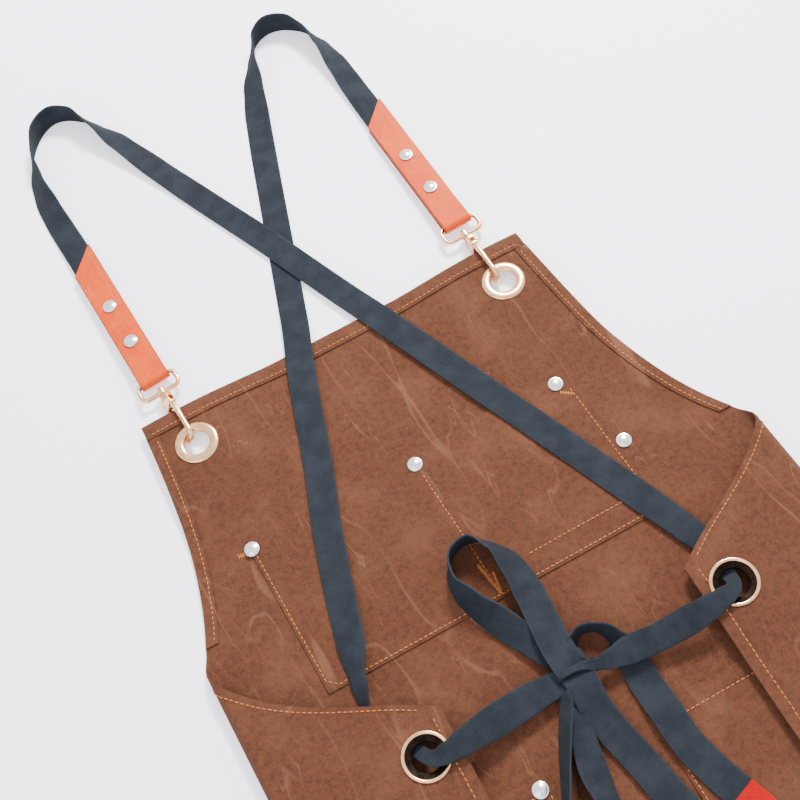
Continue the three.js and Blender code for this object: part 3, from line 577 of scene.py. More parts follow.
def speckle(tree, vector, scale, detail=4.0, roughness=0.55, distortion=0.0):
    made = put(tree, "ShaderNodeTexNoise")
    feed(tree, vector, made.inputs["Vector"])
    made.inputs["Scale"].default_value = scale
    made.inputs["Detail"].default_value = detail
    made.inputs["Roughness"].default_value = roughness
    made.inputs["Distortion"].default_value = distortion
    return made.outputs[0]


def between(tree, value, low, high):
    made = put(tree, "ShaderNodeMapRange", interpolation_type="SMOOTHSTEP")
    feed(tree, value, made.inputs[0])
    made.inputs[1].default_value = low
    made.inputs[2].default_value = high
    return made.outputs[0]


def new_group(name, inputs, outputs):
    group = bpy.data.node_groups.new(name, "ShaderNodeTree")
    for label, kind, value in inputs:
        socket = group.interface.new_socket(label, in_out="INPUT", socket_type=kind)
        if value is not None:
            socket.default_value = value
    for label, kind in outputs:
        group.interface.new_socket(label, in_out="OUTPUT", socket_type=kind)
    return group, put(group, "NodeGroupInput"), put(group, "NodeGroupOutput", (900, 0))


def use_group(tree, group, **sources):
    made = put(tree, "ShaderNodeGroup", node_tree=group)
    for label, source in sources.items():
        feed(tree, source, made.inputs[label])
    return made


# A plain weave: threads that pass over and under each other.
def make_weave():
    group, start, end = new_group(
        "plain weave",
        [("Vector", "NodeSocketVector", None), ("Threads", "NodeSocketFloat", 1200.0)],
        [("Height", "NodeSocketFloat")],
    )
    parts = put(group, "ShaderNodeSeparateXYZ")
    feed(group, start.outputs["Vector"], parts.inputs[0])
    count = calc(group, "MULTIPLY", start.outputs["Threads"], math.pi)
    warp = calc(group, "SINE", calc(group, "MULTIPLY", parts.outputs[0], count))
    weft = calc(group, "SINE", calc(group, "MULTIPLY", parts.outputs[1], count))
    over = calc(group, "GREATER_THAN", calc(group, "MULTIPLY", warp, weft), 0.0)
    up = calc(group, "MULTIPLY", calc(group, "ABSOLUTE", warp), over)
    under = calc(group, "MULTIPLY", calc(group, "ABSOLUTE", weft), calc(group, "SUBTRACT", 1.0, over))
    feed(group, calc(group, "ADD", up, under), end.inputs["Height"])
    return group


# Pale scuffs where waxed cloth or leather has been creased, from thin bands of a soft noise.
def make_creases():
    group, start, end = new_group(
        "creases",
        [("Vector", "NodeSocketVector", None), ("Scale", "NodeSocketFloat", 30.0)],
        [("Mask", "NodeSocketFloat")],
    )
    total = None
    for slope, part, width in ((0.6, 1.0, 0.016), (2.2, 2.3, 0.012), (5.1, 0.55, 0.010)):
        shifted = put(group, "ShaderNodeMapping")
        feed(group, start.outputs["Vector"], shifted.inputs["Vector"])
        shifted.inputs["Rotation"].default_value = (0, 0, slope)
        shifted.inputs["Scale"].default_value = (part, part * 0.22, 1)
        cloud = put(group, "ShaderNodeTexNoise")
        feed(group, shifted.outputs[0], cloud.inputs["Vector"])
        feed(group, start.outputs["Scale"], cloud.inputs["Scale"])
        cloud.inputs["Detail"].default_value = 2.0
        cloud.inputs["Distortion"].default_value = 0.15
        off = calc(group, "ABSOLUTE", calc(group, "SUBTRACT", cloud.outputs[0], 0.5))
        line = calc(group, "SUBTRACT", 1.0, between(group, off, 0.0, width))
        patch = between(group, speckle(group, shifted.outputs[0], 21.0, 2.0), 0.50, 0.66)
        line = calc(group, "MULTIPLY", line, patch)
        total = line if total is None else calc(group, "MAXIMUM", total, line)
    feed(group, total, end.inputs["Mask"])
    return group


WEAVE = make_weave()
CREASES = make_creases()


def new_material(name, roughness, metallic=0.0):
    material = bpy.data.materials.new(name)
    material.use_nodes = True
    shader = material.node_tree.nodes["Principled BSDF"]
    shader.inputs["Roughness"].default_value = roughness
    shader.inputs["Metallic"].default_value = metallic
    return material, material.node_tree, shader


def bumped(tree, shader, height, distance):
    made = put(tree, "ShaderNodeBump")
    made.inputs["Strength"].default_value = 1.0
    made.inputs["Distance"].default_value = distance
    feed(tree, height, made.inputs["Height"])
    feed(tree, made.outputs[0], shader.inputs["Normal"])


def pattern_place(tree):
    return put(tree, "ShaderNodeUVMap", uv_map="pattern").outputs[0]


def canvas_finish(name, shade=1.0):
    def shaded(red, green, blue):
        return tuple(c * shade for c in srgb(red, green, blue)[:3]) + (1,)

    material, tree, shader = new_material(name, 0.86)
    place = pattern_place(tree)
    cloud = speckle(tree, place, 26, 5, 0.6)
    mottle = speckle(tree, place, 230, 7, 0.74, 0.2)
    grain = speckle(tree, place, 820, 4, 0.75)
    light = shaded(112, 71, 49)
    colour = blend_colours(tree, between(tree, mottle, 0.30, 0.60), shaded(54, 30, 20), shaded(81, 46, 29))
    colour = tint(tree, colour, between(tree, cloud, 0.42, 0.75), 0.35, light)
    colour = tint(tree, colour, between(tree, grain, 0.50, 0.72), 0.60, light)
    creases = use_group(tree, CREASES, Vector=place, Scale=30.0).outputs["Mask"]
    colour = tint(tree, colour, creases, 0.26, shaded(146, 102, 78))
    weave = use_group(tree, WEAVE, Vector=place, Threads=1500.0).outputs["Height"]
    # Painted highlight: the raised threads of the weave are painted lighter.
    colour = tint(tree, colour, weave, 0.16, light)
    feed(tree, colour, shader.inputs["Base Color"])
    rough = calc(tree, "SUBTRACT", 0.93, calc(tree, "MULTIPLY", cloud, 0.16))
    feed(tree, rough, shader.inputs["Roughness"])
    height = calc(tree, "ADD", calc(tree, "MULTIPLY", weave, 0.35), calc(tree, "MULTIPLY", mottle, 1.3))
    height = calc(tree, "SUBTRACT", height, calc(tree, "MULTIPLY", creases, 0.5))
    bumped(tree, shader, height, 0.00035)
    shader.inputs["Specular IOR Level"].default_value = 0.15
    return material


def webbing_finish(name, deep, plain, edge):
    material, tree, shader = new_material(name, 0.9)
    place = pattern_place(tree)
    parts = put(tree, "ShaderNodeSeparateXYZ")
    feed(tree, place, parts.inputs[0])
    off = calc(tree, "ABSOLUTE", calc(tree, "SUBTRACT", parts.outputs[0], 0.05))
    slant = calc(tree, "ADD", parts.outputs[1], calc(tree, "MULTIPLY", off, 1.1))
    rib = calc(tree, "ABSOLUTE", calc(tree, "SINE", calc(tree, "MULTIPLY", slant, math.pi * 620)))
    weave = use_group(tree, WEAVE, Vector=place, Threads=1250.0).outputs["Height"]
    height = calc(tree, "ADD", calc(tree, "MULTIPLY", rib, 0.4), calc(tree, "MULTIPLY", weave, 0.5))
    fuzz = speckle(tree, place, 900, 4, 0.7)
    worn = between(tree, speckle(tree, place, 60, 4, 0.6), 0.35, 0.7)
    # Painted shade: the grooves of the ribs and the weave take the deep colour, their raised tops the plain one.
    colour = blend_colours(tree, between(tree, height, 0.1, 1.0), deep, plain)
    colour = tint(tree, colour, between(tree, fuzz, 0.5, 0.75), 0.35, edge)
    colour = tint(tree, colour, worn, 0.25, edge)
    selvedge = between(tree, off, 0.0088, 0.0098)
    colour = tint(tree, colour, selvedge, 0.25, edge)
    feed(tree, colour, shader.inputs["Base Color"])
    bumped(tree, shader, height, 0.00025)
    shader.inputs["Specular IOR Level"].default_value = 0.12
    return material


def leather_finish():
    material, tree, shader = new_material("leather", 0.5)
    place = pattern_place(tree)
    parts = put(tree, "ShaderNodeSeparateXYZ")
    feed(tree, place, parts.inputs[0])
    off = calc(tree, "ABSOLUTE", calc(tree, "SUBTRACT", parts.outputs[0], 0.05))
    cells = put(tree, "ShaderNodeTexVoronoi")
    feed(tree, place, cells.inputs["Vector"])
    cells.inputs["Scale"].default_value = 1100
    tone = speckle(tree, place, 42, 5, 0.6)
    patchy_noise = speckle(tree, place, 240, 5, 0.65)
    colour = blend_colours(tree, between(tree, tone, 0.36, 0.66), srgb(188, 60, 2), srgb(198, 72, 3))
    # Painted highlight: pale pink patches laid in where this patchy noise is high.
    colour = tint(tree, colour, between(tree, patchy_noise, 0.48, 0.75), 0.4, srgb(210, 96, 24))
    creases = use_group(tree, CREASES, Vector=place, Scale=60.0).outputs["Mask"]
    colour = tint(tree, colour, creases, 0.25, srgb(226, 136, 78))
    burnished_edge = between(tree, off, 0.0098, 0.0109)
    colour = tint(tree, colour, burnished_edge, 0.75, srgb(96, 40, 20))
    feed(tree, colour, shader.inputs["Base Color"])
    rough = calc(tree, "ADD", 0.38, calc(tree, "MULTIPLY", patchy_noise, 0.28))
    feed(tree, rough, shader.inputs["Roughness"])
    height = calc(tree, "ADD", calc(tree, "MULTIPLY", cells.outputs["Distance"], 0.5), patchy_noise)
    bumped(tree, shader, height, 0.00018)
    shader.inputs["Specular IOR Level"].default_value = 0.16
    return material


def metal_finish(name, plain, deep, base_roughness):
    material, tree, shader = new_material(name, base_roughness, 1.0)
    place = put(tree, "ShaderNodeTexCoord").outputs["Object"]
    cloud = speckle(tree, place, 260, 4, 0.6)
    streaks = put(tree, "ShaderNodeMapping")
    feed(tree, place, streaks.inputs["Vector"])
    streaks.inputs["Scale"].default_value = (1, 0.12, 1)
    brushed = speckle(tree, streaks.outputs[0], 2600, 3, 0.6)
    colour = blend_colours(tree, between(tree, cloud, 0.35, 0.7), plain, deep)
    feed(tree, colour, shader.inputs["Base Color"])
    wear = calc(tree, "MULTIPLY", calc(tree, "ADD", cloud, brushed), 0.08)
    feed(tree, calc(tree, "ADD", base_roughness, wear), shader.inputs["Roughness"])
    bumped(tree, shader, brushed, 0.00002)
    return material


def thread_finish():
    material, tree, shader = new_material("golden thread", 0.6)
    place = put(tree, "ShaderNodeTexCoord").outputs["Object"]
    twist = speckle(tree, place, 2400, 2, 0.5)
    faded = speckle(tree, place, 35, 3, 0.5)
    colour = blend_colours(tree, between(tree, twist, 0.3, 0.7), srgb(136, 70, 20), srgb(196, 118, 44))
    colour = tint(tree, colour, faded, 0.45, srgb(136, 84, 48))
    feed(tree, colour, shader.inputs["Base Color"])
    bumped(tree, shader, twist, 0.0001)
    return material


canvas = canvas_finish("waxed canvas")
hem_canvas = canvas_finish("waxed canvas hem", 1.06)
thread = thread_finish()
# The first colour of each webbing is the painted shade in its grooves.
dark_webbing = webbing_finish("webbing", srgb(20, 23, 27), srgb(34, 39, 45), srgb(56, 62, 70))
red_webbing = webbing_finish("red tip", srgb(120, 2, 5), srgb(178, 5, 8), srgb(200, 30, 30))
leather = leather_finish()
gold = metal_finish("pale gold", srgb(234, 192, 146), srgb(214, 160, 110), 0.15)
# Painted shade: a near-black metal that stands for the shadow inside the waist eyelets' funnels.
painted_shade_metal = metal_finish("brass painted as shade", srgb(34, 26, 20), srgb(18, 14, 11), 0.5)
silver = metal_finish("silver", srgb(238, 238, 236), srgb(205, 208, 212), 0.14)


# ---- how the cloth lies --------------------------------------------------------------------------
def bezier(points, t):
    while len(points) > 1:
        points = [a.lerp(b, t) for a, b in zip(points, points[1:])]
    return points[0]


ARMHOLE_STEER = [
    Vector((BIB_HALF_WIDTH, 0)),
    Vector((BIB_HALF_WIDTH + 0.008, -ARMHOLE_DEPTH * 0.88)),
    Vector((SKIRT_HALF_WIDTH - ARMHOLE_FLARE, -ARMHOLE_DEPTH * 0.83)),
    Vector((SKIRT_HALF_WIDTH, -ARMHOLE_DEPTH)),
]
ARMHOLE = [bezier(ARMHOLE_STEER, i / 300) for i in range(301)]


# Half the pattern's width at a depth.
def half_width(v):
    if v <= -ARMHOLE_DEPTH:
        return SKIRT_HALF_WIDTH
    after = next(i for i, p in enumerate(ARMHOLE) if p.y <= v + 1e-9)
    a, b = ARMHOLE[max(after - 1, 0)], ARMHOLE[max(after, 1)]
    return mix(a.x, b.x, (v - a.y) / (b.y - a.y))


def distance(u, v, place):
    return math.hypot(abs(u) - place[0], v - place[1])


LOWEST_WAVE = -0.0002  # the deepest a wave may dip


# Small waves of the lying cloth, which die out round the hardware.
def ripple(u, v):
    calm_at_bib = smooth(distance(u, v, BIB_EYELET), 0.018, 0.045)
    calm_at_waist = smooth(distance(u, v, WAIST_EYELET), 0.018, 0.040)
    broad = noise.noise(Vector((u * 13, v * 8, 4.1)))
    small = noise.noise(Vector((u * 46, v * 34, 9.3)))
    edge = smooth(abs(u) / half_width(v), 0.8, 1.0) * noise.noise(Vector((u * 20, v * 24, 2.2)))
    past = smooth(abs(u), 0.215, 0.26)
    patchy_noise = past * noise.noise(Vector((u * 12, v * 17, 7.7)))
    wave = 0.00045 * broad + 0.00018 * small + 0.0004 * edge + 0.0010 * patchy_noise
    return max(calm_at_bib * calm_at_waist * wave, LOWEST_WAVE)


def lift_at(u, v):
    bib = BIB_LIFT * (1 - smooth(distance(u, v, BIB_EYELET), BIB_LEVEL, 0.085))
    waist = WAIST_LIFT * (1 - smooth(distance(u, v, WAIST_EYELET), WAIST_LEVEL, 0.055))
    return bib + waist


# The laid place of the pattern point (u, v), at the height `above` the cloth's middle on its front side.
def lay(u, v, above=0.0):
    side = -1 if u < 0 else 1
    fold_start = LEFT_FOLD_U if side < 0 else RIGHT_FOLD_U
    past = abs(u) - fold_start
    turned = clamp(past / FOLD_RADIUS, 0, math.pi + WING_DROOP)
    beyond = past - FOLD_RADIUS * turned
    reach = FOLD_RADIUS * math.sin(turned) + beyond * math.cos(turned)
    rise = FOLD_RADIUS * (1 - math.cos(turned)) + beyond * math.sin(turned)
    x = fold_start + reach - above * math.sin(turned)
    z = CLOTH_BASE + HALF_CLOTH + (rise if past > 0 else 0) + above * math.cos(turned)
    skew = LAID_SKEW * min(-v, ARMHOLE_DEPTH)
    return ORIGIN + Vector((side * x + skew, v, z + lift_at(u, v) + ripple(u, v)))


# The frame on the cloth at (u, v): x across, y along the cloth, z out of its front side.
def placed(u, v):
    origin = lay(u, v)
    along = (lay(u, v + 0.001) - origin).normalized()
    across = (lay(u + 0.001, v) - origin).normalized()
    out = across.cross(along).normalized()
    across = along.cross(out)
    return Matrix.Translation(origin) @ Matrix((across, along, out)).transposed().to_4x4()


# A closed layer of cloth over rows of pattern points, from a low to a high height on its front side.
def cloth_layer(name, rows, low, high, material):
    low_at = low if callable(low) else (lambda u, v: low)
    high_at = high if callable(high) else (lambda u, v: high)
    corners, places, faces = [], [], []
    down, across = len(rows), len(rows[0])
    for height in (low_at, high_at):
        for row in rows:
            for u, v in row:
                corners.append(lay(u, v, height(u, v)))
                places.append((u + 0.5, v + 1.0))
    size = down * across
    for i in range(down - 1):
        for j in range(across - 1):
            a = i * across + j
            b, c, d = a + across, a + across + 1, a + 1
            faces += [(size + a, size + b, size + c, size + d), (a, d, c, b)]
    for i in range(down - 1):
        a, b = i * across, (i + 1) * across
        faces.append((a, b, size + b, size + a))
        a, b = a + across - 1, b + across - 1
        faces.append((b, a, size + a, size + b))
    last = (down - 1) * across
    for j in range(across - 1):
        faces.append((j + 1, j, size + j, size + j + 1))
        faces.append((last + j, last + j + 1, size + last + j + 1, size + last + j))
    piece = new_object(name, mesh_from(name, corners, faces, places), material)
    sharpen(piece, 50)
    return piece


def columns(fold_start):
    bend = FOLD_RADIUS * (math.pi + WING_DROOP)
    flat = spread(0.0, fold_start, 44)[1:]
    folded = spread(fold_start, fold_start + bend, 14)[1:]
    wing = spread(fold_start + bend, SKIRT_HALF_WIDTH, 26)[1:]
    return flat + folded + wing


panel_columns = [-u for u in reversed(columns(LEFT_FOLD_U))] + [0.0] + columns(RIGHT_FOLD_U)
panel_depths = spread(0, -ARMHOLE_DEPTH, 76) + spread(-ARMHOLE_DEPTH, -APRON_LENGTH, 110)[1:]
panel_rows = []
for v in panel_depths:
    half = half_width(v)
    panel_rows.append([(clamp(u, -half, half), v) for u in panel_columns])
panel = cloth_layer("canvas_panel", panel_rows, -HALF_CLOTH, HALF_CLOTH, canvas)


# Cuts an eyelet's hole with a straight round tool.
def punch(piece, matrix, radius):
    bpy.ops.object.select_all(action="DESELECT")
    bpy.ops.mesh.primitive_cylinder_add(vertices=40, radius=radius, depth=0.008)
    tool = bpy.context.object
    tool.data.transform(matrix)
    combine(piece, tool, "DIFFERENCE")


eyelet_places = {
    "bib_left": (-BIB_EYELET[0], BIB_EYELET[1]),
    "bib_right": BIB_EYELET,
    "waist_left": (-WAIST_EYELET[0], WAIST_EYELET[1]),
    "waist_right": WAIST_EYELET,
}
for name, place in eyelet_places.items():
    hole = WAIST_RIM_INNER - 0.0004 if name.startswith("waist") else EYELET_HOLE_RADIUS + 0.0007
    punch(panel, placed(*place), hole)

HEM_SWELL = 0.0005  # the folded hem springs up between its edges
hem_columns = spread(-BIB_HALF_WIDTH, BIB_HALF_WIDTH, 90)


# A hem's height swells a little between the stitches and rounds off at its free edge.
def top_hem_height(u, v):
    round_off = smooth(-v, 0.0105, HEM_WIDTH) * 0.0003 + smooth(v, -0.0008, 0) * 0.0002
    seam = 0.00025 * math.exp(-(((v + 0.0094) / 0.0008) ** 2))
    swell = HEM_SWELL * math.sin(math.pi * clamp(-v / HEM_WIDTH, 0, 1)) ** 0.5
    return HEM_TOP + swell - seam - round_off + 0.0001 * noise.noise(Vector((u * 130, v * 60, 1.0)))


top_rows = [
    [(clamp(u, -half_width(v), half_width(v)), v) for u in hem_columns] for v in spread(0, -HEM_WIDTH, 14)
]
top_hem = cloth_layer("bib_hem", top_rows, HEM_LOW - 0.0004, top_hem_height, hem_canvas)


def armhole_hem(name, side):
    fold_start = LEFT_FOLD_U if side < 0 else RIGHT_FOLD_U
    depths = [v for v in spread(-HEM_WIDTH - 2 * GAP, -ARMHOLE_DEPTH, 90) if half_width(v) < fold_start]
    rows = []
    for v in depths:
        edge = half_width(v)
        inset = [side * (edge - SIDE_HEM_WIDTH * k / 5) for k in range(6)]
        rows.append([(u, v) for u in (inset if side < 0 else inset[::-1])])

    def height(u, v):
        inner = abs(half_width(v) - abs(u)) / SIDE_HEM_WIDTH
        return HEM_TOP - 0.0003 * smooth(inner, 0.8, 1) - 0.0002 * smooth(inner, 0.15, 0)

    return cloth_layer(name, rows, HEM_LOW - 0.0004, height, hem_canvas)


arm_hems = [armhole_hem("arm_hem_left", -1), armhole_hem("arm_hem_right", 1)]


# The skirt's side hems are turned to the back, which faces up on the folded wings.
def back_hem(name, side):
    rows = []
    for v in spread(-ARMHOLE_DEPTH - 0.001, -APRON_LENGTH + 0.0002, 120):
        edge = [side * (SKIRT_HALF_WIDTH - 0.0002 - BACK_HEM_WIDTH * k / 4) for k in range(5)]
        rows.append([(u, v) for u in (edge if side < 0 else edge[::-1])])

    def low(u, v):
        inner = (SKIRT_HALF_WIDTH - abs(u)) / BACK_HEM_WIDTH
        under_eyelet = 1 - smooth(distance(u, v, WAIST_EYELET), 0.015, 0.019)
        return -HALF_CLOTH - 0.0006 * (1 - 0.5 * smooth(inner, 0.75, 1)) * (1 - 0.9 * under_eyelet)

    return cloth_layer(name, rows, low, -HALF_CLOTH + 0.0002, hem_canvas)


back_hems = [back_hem("back_hem_left", -1), back_hem("back_hem_right", 1)]
foot_rows = [[(u, v) for u in panel_columns] for v in spread(-APRON_LENGTH + 0.010, -APRON_LENGTH, 4)]
foot_hem = cloth_layer("foot_hem", foot_rows, -HALF_CLOTH - 0.0006, -HALF_CLOTH + 0.0002, hem_canvas)


def pocket(name, left, right, high, foot):
    depths = [high, high - 0.001] + spread(high - 0.004, foot + 0.002, 30) + [foot + 0.0008, foot]
    across = [left, left + 0.0008] + spread(left + 0.002, right - 0.002, 60) + [right - 0.0008, right]

    def height(u, v):
        inside = min(u - left, right - u, v - foot)
        edge = 1 - smooth(inside, -0.0004, 0.0016)
        mouth = 1 - smooth(high - v, -0.0002, 0.0060)
        billow = 0.00018 + 0.0003 * noise.noise(Vector((u * 30, v * 40, 5.0)))
        fullness = smooth(inside, 0.004, 0.03) * billow
        seam = 0.0003 * math.exp(-(((inside - 0.0022) / 0.0007) ** 2))
        return POCKET_TOP - 0.0004 * edge - 0.00042 * mouth - seam + fullness

    rows = [[(u, v) for u in across] for v in depths]
    return cloth_layer(name, rows, POCKET_LOW - 0.0003, height, canvas)


pockets = [
    pocket("pocket_chest", CHEST_LEFT, CHEST_RIGHT, CHEST_HIGH, CHEST_FOOT),
    pocket("pocket_lower_left", -LOWER_OUTER, -LOWER_INNER, LOWER_HIGH, LOWER_FOOT),
    pocket("pocket_lower_right", LOWER_INNER, LOWER_OUTER, LOWER_HIGH, LOWER_FOOT),
]


# ---- stitching -----------------------------------------------------------------------------------
STITCH = 0.0026
STITCH_SPACING = 0.0035
THREAD = 0.00043  # half the thread's thickness


# One stitch: a thread that comes out of the cloth, lies on it and goes in again.
def add_stitch(corners, faces, start, end, out):
    ahead = (end - start).normalized()
    side = ahead.cross(out).normalized()
    base = len(corners)
    stations = ((0.0, -0.4, 0.55), (0.18, 0.45, 0.9), (0.5, 0.7, 1.0), (0.82, 0.45, 0.9), (1.0, -0.4, 0.55))
    for along, height, size in stations:
        centre = start.lerp(end, along) + out * (height * THREAD)
        for k in range(6):
            angle = math.pi * k / 3
            corners.append(centre + (side * math.cos(angle) + out * math.sin(angle)) * THREAD * size)
    for i in range(len(stations) - 1):
        for k in range(6):
            a, b = base + i * 6 + k, base + i * 6 + (k + 1) % 6
            faces.append((a, a + 6, b + 6, b))
    faces.append(tuple(base + k for k in range(6)))
    faces.append(tuple(base + 24 + k for k in reversed(range(6))))


# Points at even steps along a line of pattern points.
def walk(line, step):
    done, target = 0.0, step / 2
    for (u0, v0), (u1, v1) in zip(line, line[1:]):
        length = math.hypot(u1 - u0, v1 - v0)
        while length and target <= done + length:
            t = (target - done) / length
            yield mix(u0, u1, t), mix(v0, v1, t), (u1 - u0) / length, (v1 - v0) / length
            target += step
        done += length


def thread_piece(name, corners, faces):
    return new_object(name, mesh_from(name, corners, faces, [(0.0, 0.0)] * len(corners), 1e-9), thread)


# Seams: each is a line of pattern points, at a height over the front (1) or the back (-1) of the cloth.
def sew(name, seams):
    corners, faces = [], []
    for line, above, face in seams:
        for u, v, du, dv in walk(line, STITCH_SPACING):
            if distance(u, v, WAIST_EYELET) < EYELET_RADIUS + 0.001:
                continue
            jitter = rng.uniform(-0.00012, 0.00012)
            half = STITCH / 2 * rng.uniform(0.9, 1.08)
            start = lay(u - du * half + jitter, v - dv * half, above * face)
            end = lay(u + du * half + jitter, v + dv * half, above * face)
            out = (lay(u, v, (above + 0.001) * face) - lay(u, v, above * face)).normalized()
            add_stitch(corners, faces, start, end, out)
    return thread_piece(name, corners, faces)


def inset_armhole(side, inset, start, stop):
    return [(side * (half_width(v) - inset), v) for v in spread(start, stop, 60)]


wing_line = -ARMHOLE_DEPTH - 0.004
foot_line = -APRON_LENGTH + 0.0085
wing_edge = SKIRT_HALF_WIDTH - 0.0072
front_seams = [([(-0.146, -0.0094), (0.146, -0.0094)], HEM_TOP + 0.0002, 1)]
back_seams = []
for side, fold_start in ((-1, LEFT_FOLD_U), (1, RIGHT_FOLD_U)):
    whole = inset_armhole(side, 0.0066, -0.016, -ARMHOLE_DEPTH + 0.004)
    front_seams.append(([p for p in whole if abs(p[0]) < fold_start - 0.007], HEM_TOP, 1))
    back_seams.append(([p for p in whole if abs(p[0]) > fold_start + 0.004], HALF_CLOTH, -1))
    down_wing = [(side * wing_edge, wing_line), (side * wing_edge, -APRON_LENGTH + 0.008)]
    back_seams.append((down_wing, HALF_CLOTH + 0.0005, -1))
    back_seams.append(([(side * 0.2200, foot_line), (side * wing_edge, foot_line)], HALF_CLOTH, -1))
front_seams.append(([(-LEFT_FOLD_U, foot_line), (RIGHT_FOLD_U, foot_line)], HALF_CLOTH, 1))
hem_stitches = sew("hem_stitches", front_seams + back_seams)

IN = 0.0022  # from a pocket's edge to its stitching
left, right, foot = CHEST_LEFT + IN, CHEST_RIGHT - IN, CHEST_FOOT + IN
stitch_high = POCKET_TOP - 0.0002
chest_edge = [(left, -0.124), (left, foot + 0.006), (left + 0.006, foot), (right, foot), (right, -0.124)]
pocket_seams = [
    (chest_edge, stitch_high, 1),
    ([(0.027, -0.2125), (0.097, -0.2125)], stitch_high + 0.0003, 1),
    ([(-0.0020, -0.130), (-0.0012, foot)], stitch_high + 0.0003, 1),
]
for side in (-1, 1):
    inner, outer = side * (LOWER_INNER + IN), side * (LOWER_OUTER - IN)
    edge = [(inner, -0.345), (inner, LOWER_FOOT + IN), (outer, LOWER_FOOT + IN), (outer, -0.345)]
    mouth = [(inner + side * 0.002, -0.3425), (outer - side * 0.002, -0.3425)]
    pocket_seams.append((edge, stitch_high, 1))
    pocket_seams.append((mouth, stitch_high + 0.0002, 1))
pocket_stitches = sew("pocket_stitches", pocket_seams)


# Bar tacks: a close zigzag of thread that strengthens the end of a seam.
def bar_tack(name, tacks):
    corners, faces = [], []
    for (u0, v0), (u1, v1), width, above in tacks:
        length = math.hypot(u1 - u0, v1 - v0)
        du, dv = (u1 - u0) / length, (v1 - v0) / length
        steps = int(length / 0.0008)
        for i in range(steps + 1):
            t = i / steps
            u, v = mix(u0, u1, t), mix(v0, v1, t)
            tilt = 0.0006 if i % 2 else -0.0006
            start = lay(u - dv * width / 2, v + du * width / 2 - tilt, above)
            end = lay(u + dv * width / 2, v - du * width / 2 + tilt, above)
            add_stitch(corners, faces, start, end, Vector((0, 0, 1)))
    return thread_piece(name, corners, faces)


tacks = bar_tack(
    "bar_tacks",
    [
        ((-0.0040, -0.2030), (-0.0016, -0.2260), 0.0026, POCKET_TOP + 0.0001),
        ((0.0016, -0.2120), (-0.0010, -0.2260), 0.0024, POCKET_TOP + 0.0001),
        ((-0.1335, -0.1185), (-0.1285, -0.1195), 0.0028, HALF_CLOTH),
        ((0.1070, -0.1250), (0.1130, -0.1300), 0.0024, POCKET_TOP - 0.0002),
    ],
)


# ---- turned hardware -----------------------------------------------------------------------------
def start_edit():
    bpy.ops.object.mode_set(mode="EDIT")
    bpy.ops.mesh.select_all(action="SELECT")


# A round piece about its own z: a circle drawn out from step to step of a profile of (radius, height).
def turned_piece(name, profile, sides, material, closed=False):
    bpy.ops.object.select_all(action="DESELECT")
    radius, height = profile[0]
    bpy.ops.mesh.primitive_circle_add(vertices=sides, radius=radius, fill_type="NOTHING")
    piece = bpy.context.object
    piece.name = name
    piece.data.transform(Matrix.Translation((0, 0, height)))
    start_edit()
    for (r0, z0), (r1, z1) in zip(profile, profile[1:]):
        bpy.ops.mesh.extrude_region_move(TRANSFORM_OT_translate={"value": (0, 0, z1 - z0)})
        bpy.ops.transform.resize(value=(r1 / r0, r1 / r0, 1), center_override=(0, 0, z1))
    bpy.ops.mesh.select_all(action="SELECT")
    if closed:
        bpy.ops.mesh.remove_doubles(threshold=0.000002)
    else:
        bpy.ops.mesh.fill_holes(sides=0)
    bpy.ops.mesh.select_all(action="SELECT")
    bpy.ops.mesh.normals_make_consistent(inside=False)
    bpy.ops.object.mode_set(mode="OBJECT")
    piece.data.materials.append(material)
    sharpen(piece, 35)
    return piece


def copied(piece, name, matrix):
    twin = bpy.data.objects.new(name, piece.data.copy())
    bpy.context.collection.objects.link(twin)
    twin.data.transform(matrix)
    return twin


# Points of a profile on an arc about (radius, height).
def arc(radius, height, size_r, size_z, start, stop, steps):
    angles = spread(math.radians(start), math.radians(stop), steps)
    return [(radius + size_r * math.cos(a), height + size_z * math.sin(a)) for a in angles]


EYELET_SEAT = HALF_CLOTH + GAP
DOME = 0.0013


# The eyelet's rolled rim: a half-round bead with a rolled inner wall, or a funnel inside a narrower bead.
def eyelet_outline(inner):
    half = (EYELET_RADIUS - inner) / 2
    dome = arc(inner + half, EYELET_SEAT, half, DOME, 0, 180, 16)
    outline = [(EYELET_HOLE_RADIUS + 0.0006, -EYELET_SEAT - 0.0007)]
    if inner > EYELET_HOLE_RADIUS:
        outline += [(EYELET_HOLE_RADIUS + 0.0006, -0.0007), (inner - 0.0002, EYELET_SEAT - 0.0001)]
        outline += dome + [(inner - 0.0008, EYELET_SEAT - 0.0002), (EYELET_HOLE_RADIUS + 0.0003, -0.0002)]
    else:
        outline += [(EYELET_HOLE_RADIUS + 0.0006, EYELET_SEAT - 0.0001)] + dome
    outline += [(EYELET_HOLE_RADIUS, -EYELET_SEAT - 0.0005)]
    outline += [(EYELET_HOLE_RADIUS + 0.0003, -EYELET_SEAT - 0.0008)]
    return outline + [(EYELET_HOLE_RADIUS + 0.0006, -EYELET_SEAT - 0.0007)]


eyelet_model = turned_piece("eyelet_model", eyelet_outline(EYELET_HOLE_RADIUS), 72, gold, closed=True)
funnel_model = turned_piece("funnel_model", eyelet_outline(WAIST_RIM_INNER), 72, gold, closed=True)
# The funnel's inner faces take the near-black metal as painted shade.
funnel_model.data.materials.append(painted_shade_metal)
for face in funnel_model.data.polygons:
    if math.hypot(face.center.x, face.center.y) < WAIST_RIM_INNER:
        face.material_index = 1

